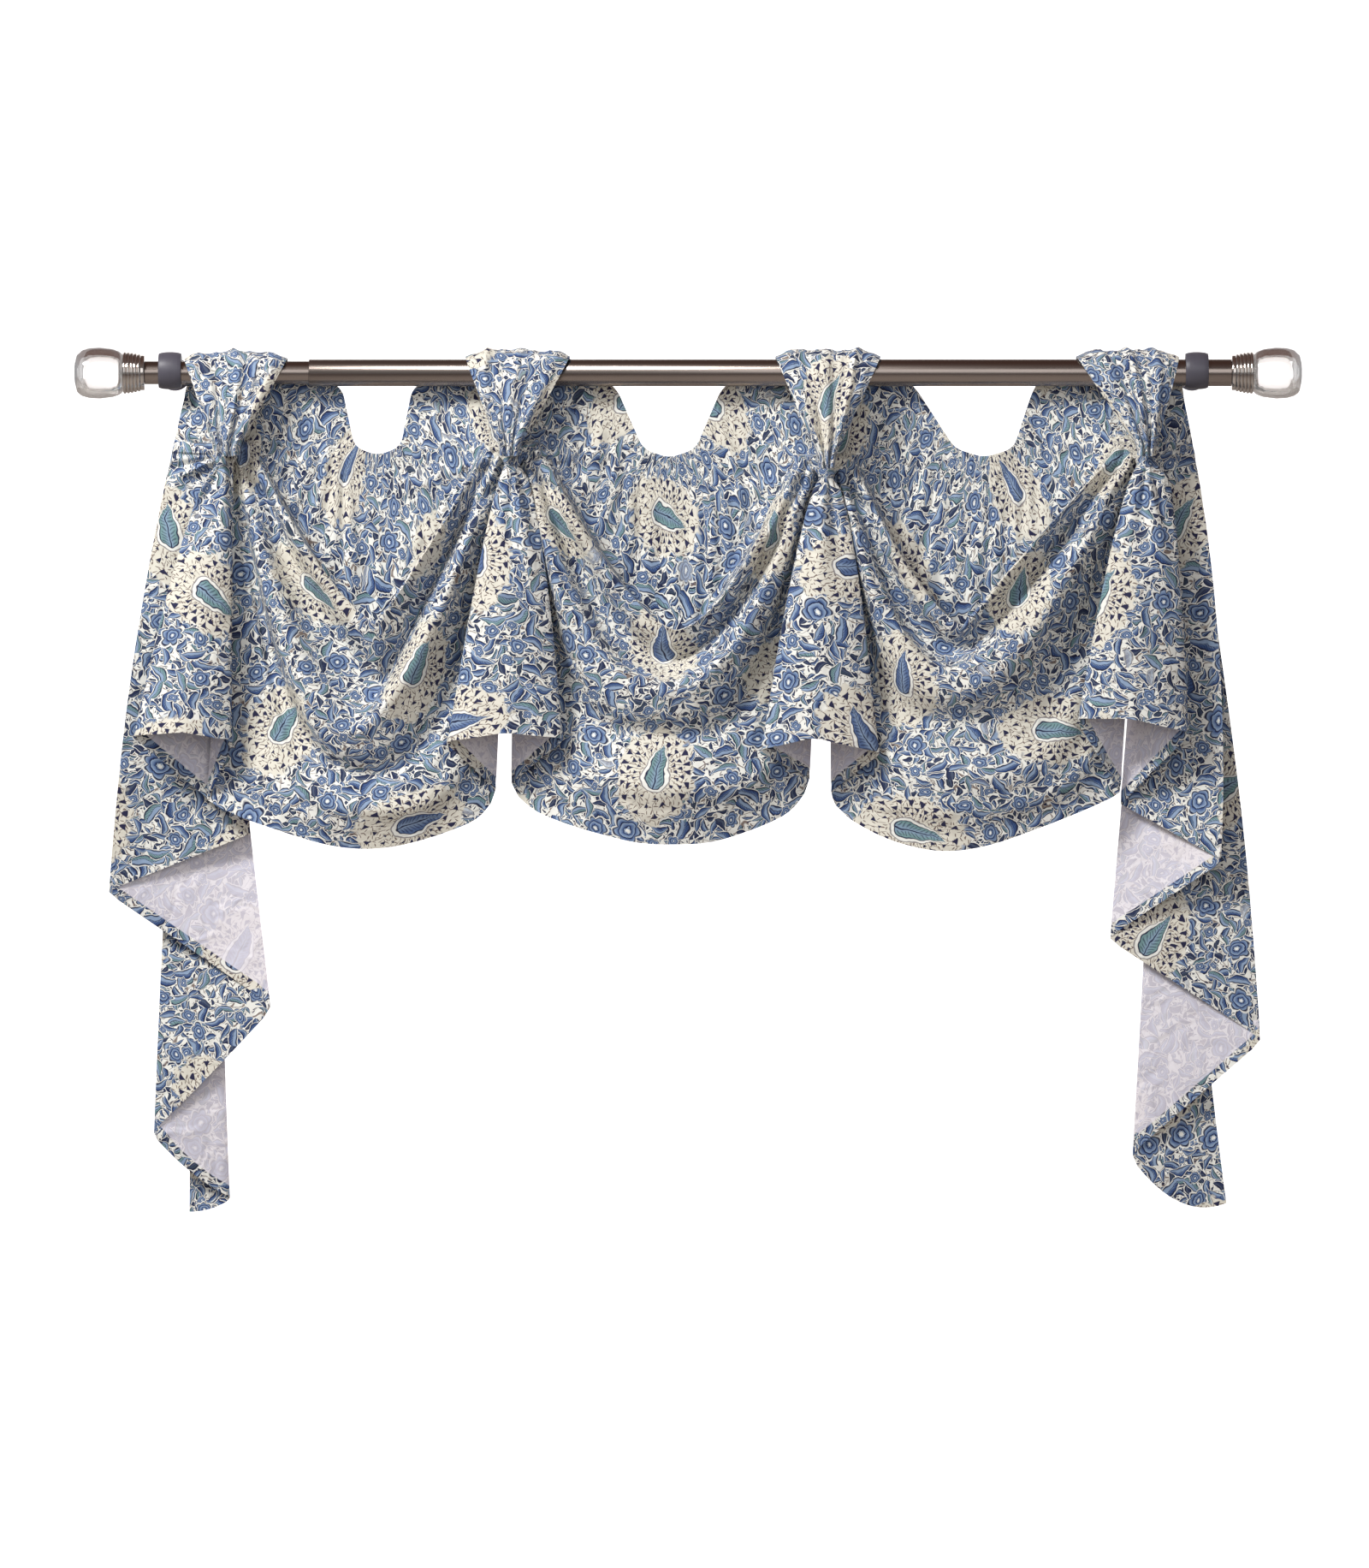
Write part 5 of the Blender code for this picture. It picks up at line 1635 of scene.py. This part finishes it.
def add_rod():
    """The two tubes of the telescoping rod."""
    settings = bpy.context.scene.window_swag_hardware
    steel = brushed_metal("brushed nickel", tuple(settings.rod), ROD_ROUGHNESS, ROD_GRAIN)
    left, right = OUTER_SPAN
    bore = INNER_RADIUS + GAP
    outer = [
        (SOCKET_DEPTH, 0.0), (SOCKET_DEPTH, bore), (0.0, bore), (0.0, OUTER_RADIUS - EDGE_SOFTENING),
        (EDGE_SOFTENING, OUTER_RADIUS), (right - left, OUTER_RADIUS), (right - left, 0.0),
    ]
    length = left + SOCKET_DEPTH - GAP - INNER_LEFT
    inner = [(0.0, 0.0), (0.0, INNER_RADIUS), (length, INNER_RADIUS), (length, 0.0)]
    for name, profile, start in (("rod_outer", outer, left), ("rod_inner", inner, INNER_LEFT)):
        mesh = turned_mesh(f"{name}_tube", [profile], settings.round_steps, along_rod(start, 1))
        place_piece(f"{name}_tube", mesh, (steel,), "rod_metal", name)


def add_finials():
    """The ribbed collars and clear glass barrels at the rod's ends."""
    settings = bpy.context.scene.window_swag_hardware
    nickel = brushed_metal("polished nickel", tuple(settings.collar), COLLAR_ROUGHNESS, COLLAR_GRAIN)
    glass = clear_glass()
    collar = collar_profile()
    outside = softened(GLASS_PROFILE, GLASS_SOFTENING)
    hollow = softened(GLASS_HOLLOW, GLASS_SOFTENING)[::-1]
    for side, start_x, outwards in (("left", INNER_LEFT, -1), ("right", OUTER_SPAN[1], 1)):
        to_place = along_rod(start_x, outwards)
        name = f"collar_{side}"
        mesh = turned_mesh(name, [collar], settings.round_steps, to_place)
        place_piece(name, mesh, (nickel,), "collar_metal", f"finial_collar_{side}")
        name = f"glass_barrel_{side}"
        mesh = turned_mesh(name, [outside, hollow], settings.round_steps, to_place)
        place_piece(name, mesh, (glass,), "finial_glass", f"finial_glass_{side}")


def cup_mesh(name, centre, bore, steps):
    """A bracket's cup: rounded outside, and bored where the rod lies, below its middle."""
    half = CUP_WIDTH / 2
    place, crown = half * CUP_CROWN_PLACE, CUP_RADIUS - CUP_CROWN_DROP
    rim = CUP_EDGE_RADIUS - CUP_RIM
    profile = (
        (-half, rim), (-half, CUP_EDGE_RADIUS), (-place, crown), (0.0, CUP_RADIUS),
        (place, crown), (half, CUP_EDGE_RADIUS), (half, rim),
    )
    outside = softened(profile, CUP_SOFTENING)
    work = bmesh.new()
    rings = []
    for i in range(steps):
        angle = FULL_TURN * i / steps
        across, up = math.sin(angle), math.cos(angle)
        ring = [(centre + x, r * across, CUP_RISE + r * up) for x, r in outside]
        ring += [(centre + x, bore * across, bore * up) for x in (half, 0.0, -half)]
        rings.append([work.verts.new((x * MM, -(ROD_TO_WALL + d) * MM, z * MM)) for x, d, z in ring])
    for near, far in zip(rings, rings[1:] + rings[:1]):
        for j in range(len(near)):
            work.faces.new((near[j - 1], near[j], far[j], far[j - 1]))
    bmesh.ops.recalc_face_normals(work, faces=work.faces)
    return finished_mesh(name, work)


def pin_profile(start, end, radius):
    """The profile of a round pin with soft edges."""
    return softened(((start, 0.0), (start, radius), (end, radius), (end, 0.0)), EDGE_SOFTENING)


def add_brackets():
    """A cup round the rod, an arm and a wall plate on each side."""
    settings = bpy.context.scene.window_swag_hardware
    grey = satin_plastic("grey bracket", tuple(settings.bracket))
    bores = (INNER_RADIUS + GAP, OUTER_RADIUS + GAP)
    reach = ROD_TO_WALL - CUP_RADIUS - GAP
    arm = pin_profile(PLATE_THICKNESS + GAP, reach, ARM_RADIUS)
    plate = pin_profile(0.0, PLATE_THICKNESS, PLATE_RADIUS)
    for side, centre, bore in zip(("left", "right"), CUP_CENTRES, bores):
        mesh = cup_mesh(f"cup_{side}", centre, bore, settings.round_steps)
        place_piece(f"cup_{side}", mesh, (grey,), "bracket_metal", f"bracket_cup_{side}")
        for name, profile, node in (("arm", arm, "bracket_arm"), ("plate", plate, "wall_plate")):
            mesh = turned_mesh(f"{name}_{side}", [profile], settings.round_steps, from_wall(centre))
            place_piece(f"{name}_{side}", mesh, (grey,), "bracket_metal", f"{node}_{side}")


# Stage


def stage_card(name, corners, colour, glow):
    """A flat card that isn't part of the object, lit from within where glow is over 0."""
    mesh = bpy.data.meshes.new(name)
    mesh.from_pydata(corners, [], [(0, 1, 2, 3)])
    made = bpy.data.materials.new(name)
    made.use_nodes = True
    shader = made.node_tree.nodes["Principled BSDF"]
    shader.inputs["Base Color"].default_value = (*colour, 1.0)
    shader.inputs["Roughness"].default_value = 0.9
    shader.inputs["Emission Color"].default_value = (*colour, 1.0)
    shader.inputs["Emission Strength"].default_value = glow
    mesh.materials.append(made)
    obj = bpy.data.objects.new(name, mesh)
    bpy.context.scene.collection.objects.link(obj)


def soft_light(name, place, target, size, power, colour):
    """A rectangular lamp that faces a point."""
    lamp = bpy.data.lights.new(name, "AREA")
    lamp.shape = "RECTANGLE"
    lamp.size, lamp.size_y = size
    lamp.energy = power
    lamp.color = colour
    obj = bpy.data.objects.new(name, lamp)
    obj.location = place
    obj.rotation_euler = (Vector(target) - Vector(place)).to_track_quat("-Z", "Y").to_euler()
    obj.visible_camera = False
    bpy.context.scene.collection.objects.link(obj)


def studio_world(settings):
    """A dim room, darker and browner overhead, that the polished parts reflect."""
    world = bpy.data.worlds.new("studio")
    world.use_nodes = True
    tree = world.node_tree
    coordinates = tree.nodes.new("ShaderNodeTexCoord")
    split = tree.nodes.new("ShaderNodeSeparateXYZ")
    tree.links.new(coordinates.outputs["Generated"], split.inputs[0])
    ramp = tree.nodes.new("ShaderNodeValToRGB")
    height = Value(tree, split.outputs[2]).times_plus(0.5, 0.5)
    tree.links.new(height.socket, ramp.inputs[0])
    stops = ramp.color_ramp.elements
    stops[0].color = (*WORLD_FLOOR, 1.0)
    stops[1].color = (*WORLD_TOP, 1.0)
    middle = stops.new(WORLD_MIDDLE_PLACE)
    middle.color = (*WORLD_MIDDLE, 1.0)
    background = tree.nodes["Background"]
    tree.links.new(ramp.outputs[0], background.inputs[0])
    background.inputs[1].default_value = settings.room_light
    bpy.context.scene.world = world


def add_camera():
    """A level camera at the photograph's height and distance."""
    camera = bpy.data.cameras.new("camera")
    camera.sensor_width = SENSOR_WIDTH
    camera.lens = SENSOR_WIDTH * CAMERA_DISTANCE / VIEW_HEIGHT
    obj = bpy.data.objects.new("camera", camera)
    obj.location = (CAMERA_X, -CAMERA_DISTANCE - CLOTH_FRONT, CAMERA_Z)
    obj.rotation_euler = (math.pi / 2, 0.0, 0.0)
    bpy.context.scene.collection.objects.link(obj)
    bpy.context.scene.camera = obj


def add_stage():
    """The floor, the white backdrop, the lights, the room and the camera."""
    settings = bpy.context.scene.window_swag_stage
    front, back = FLOOR_FRONT, BACKDROP_DISTANCE
    ends = ((-FLOOR_REACH, front), (FLOOR_REACH, front), (FLOOR_REACH, back), (-FLOOR_REACH, back))
    floor = [(x, y, FLOOR_Z) for x, y in ends]
    stage_card("pale floor", floor, FLOOR_COLOUR, 0.0)
    reach, top = BACKDROP_REACH, BACKDROP_TOP
    drop = [(x, back, z) for x, z in ((-reach, FLOOR_Z), (reach, FLOOR_Z), (reach, top), (-reach, top))]
    stage_card("white backdrop", drop, (1.0, 1.0, 1.0), settings.backdrop)
    for lamp in LAMPS:
        soft_light(lamp.name, lamp.place, CLOTH_CENTRE, lamp.size, lamp.power * settings.light, lamp.colour)
    studio_world(settings)
    add_camera()
    bpy.context.scene.view_settings.view_transform = "Standard"
    bpy.context.scene.cycles.diffuse_bounces = DIFFUSE_BOUNCES


# Settings


def colour_setting(name, description, code):
    """A colour property with its default written as six hex digits."""
    return FloatVectorProperty(
        name=name, description=description, subtype="COLOR", size=3, min=0.0, max=1.0,
        default=from_hex(code),
    )


class WINDOWSWAG_PG_cloth(bpy.types.PropertyGroup):
    thickness: FloatProperty(
        name="Cotton", description="Thickness of the single cloth", default=0.0009,
        min=0.0003, max=0.003, subtype="DISTANCE", unit="LENGTH", precision=4,
    )
    tab_thickness: FloatProperty(
        name="Tab", description="Thickness of a tab's doubled cloth", default=0.0015,
        min=0.0005, max=0.004, subtype="DISTANCE", unit="LENGTH", precision=4,
    )
    gather_depth: FloatProperty(
        name="Gathers", description="Depth of the creases that run out from the knots",
        default=0.0031, min=0.0, max=0.005, subtype="DISTANCE", unit="LENGTH", precision=4,
    )
    swell_depth: FloatProperty(
        name="Unevenness", description="Depth of the slow swell of the hanging cloth",
        default=0.0022, min=0.0, max=0.005, subtype="DISTANCE", unit="LENGTH", precision=4,
    )
    show_through: FloatProperty(
        name="Show-through", description="How much of the print shows on the back",
        default=0.28, min=0.0, max=1.0, subtype="FACTOR",
    )
    cream: colour_setting("Ground", "The unprinted cotton", "F6F6F0")
    halo: colour_setting("Medallions", "The ground of the medallions", "E9E5D8")
    navy: colour_setting("Outlines", "Dark ink of outlines and ribs", "181F42")
    violet: colour_setting("Buds", "Dark violet ink of the small buds", "242549")
    blue: colour_setting("Blue", "Main blue ink", "3F5B90")
    sky: colour_setting("Sky blue", "Light blue ink", "92A8C6")
    teal: colour_setting("Teal", "Blue-green ink", "7A9DA0")
    stem: colour_setting("Stems", "Brown ink of the stems", "796860")
    grey: colour_setting("Fine line", "Grey-brown ink round the paisleys", "8F8A8C")
    reverse: colour_setting("Back", "The back of the cotton", "F4EFFA")


class WINDOWSWAG_PG_hardware(bpy.types.PropertyGroup):
    round_steps: IntProperty(
        name="Steps", description="Steps round each turned piece", default=72, min=12, max=256
    )
    rod: colour_setting("Rod", "Brushed nickel of the rod", "A0948D")
    collar: colour_setting("Collars", "Polished nickel of the collars", "D6CEC8")
    bracket: colour_setting("Brackets", "Grey plastic of the brackets", "4C4A54")


class WINDOWSWAG_PG_stage(bpy.types.PropertyGroup):
    light: FloatProperty(
        name="Light", description="Strength of the studio lamps", default=1.0, min=0.0, soft_max=4.0
    )
    room_light: FloatProperty(
        name="Room", description="Strength of the light from the room", default=0.42, min=0.0, soft_max=4.0
    )
    backdrop: FloatProperty(
        name="Backdrop", description="Glow of the white backdrop", default=1.1, min=0.0, soft_max=4.0
    )


# Operators


class WINDOWSWAG_OT_panel(bpy.types.Operator):
    """Add the printed panel with its swags, box pleats and cascades"""

    bl_idname = "window_swag.add_panel"
    bl_label = "Printed Panel"

    def execute(self, context):
        add_panel()
        return {"FINISHED"}


class WINDOWSWAG_OT_tabs(bpy.types.Operator):
    """Add the four tabs that hold the panel to the rod"""

    bl_idname = "window_swag.add_tabs"
    bl_label = "Tabs"

    def execute(self, context):
        add_tabs()
        return {"FINISHED"}


class WINDOWSWAG_OT_rod(bpy.types.Operator):
    """Add the two tubes of the rod"""

    bl_idname = "window_swag.add_rod"
    bl_label = "Rod"

    def execute(self, context):
        add_rod()
        return {"FINISHED"}


class WINDOWSWAG_OT_finials(bpy.types.Operator):
    """Add the collars and the glass barrels"""

    bl_idname = "window_swag.add_finials"
    bl_label = "Finials"

    def execute(self, context):
        add_finials()
        return {"FINISHED"}


class WINDOWSWAG_OT_brackets(bpy.types.Operator):
    """Add the two brackets"""

    bl_idname = "window_swag.add_brackets"
    bl_label = "Brackets"

    def execute(self, context):
        add_brackets()
        return {"FINISHED"}


class WINDOWSWAG_OT_stage(bpy.types.Operator):
    """Add the floor, the backdrop, the lamps and the camera"""

    bl_idname = "window_swag.add_stage"
    bl_label = "Stage"

    def execute(self, context):
        add_stage()
        return {"FINISHED"}


class WINDOWSWAG_PT_sidebar(bpy.types.Panel):
    """Sizes, colours and pieces of the window swag"""

    bl_idname = "WINDOWSWAG_PT_sidebar"
    bl_label = "Window Swag"
    bl_space_type = "VIEW_3D"
    bl_region_type = "UI"
    bl_category = "Window Swag"

    def draw(self, context):
        layout = self.layout
        for title, group, operators in PANEL_BOXES:
            box = layout.box()
            box.label(text=title)
            settings = getattr(context.scene, group)
            for name in settings.__annotations__:
                box.prop(settings, name)
            for operator in operators:
                box.operator(operator.bl_idname)


PANEL_BOXES = (
    ("Cloth", "window_swag_cloth", (WINDOWSWAG_OT_panel, WINDOWSWAG_OT_tabs)),
    (
        "Rod and brackets", "window_swag_hardware",
        (WINDOWSWAG_OT_rod, WINDOWSWAG_OT_finials, WINDOWSWAG_OT_brackets),
    ),
    ("Stage", "window_swag_stage", (WINDOWSWAG_OT_stage,)),
)
GROUPS = {
    "window_swag_cloth": WINDOWSWAG_PG_cloth,
    "window_swag_hardware": WINDOWSWAG_PG_hardware,
    "window_swag_stage": WINDOWSWAG_PG_stage,
}
OPERATORS = tuple(operator for _, _, operators in PANEL_BOXES for operator in operators)


def register():
    """Registers the settings, the operators and the panel."""
    for made in (*GROUPS.values(), *OPERATORS, WINDOWSWAG_PT_sidebar):
        bpy.utils.register_class(made)
    for name, group in GROUPS.items():
        setattr(bpy.types.Scene, name, PointerProperty(type=group))


def unregister():
    """Takes them off again."""
    for name in GROUPS:
        delattr(bpy.types.Scene, name)
    for made in (WINDOWSWAG_PT_sidebar, *reversed(OPERATORS), *GROUPS.values()):
        bpy.utils.unregister_class(made)


def main():
    register()
    bpy.ops.window_swag.add_panel()
    bpy.ops.window_swag.add_tabs()
    bpy.ops.window_swag.add_rod()
    bpy.ops.window_swag.add_finials()
    bpy.ops.window_swag.add_brackets()
    bpy.ops.window_swag.add_stage()


if __name__ == "__main__":
    main()
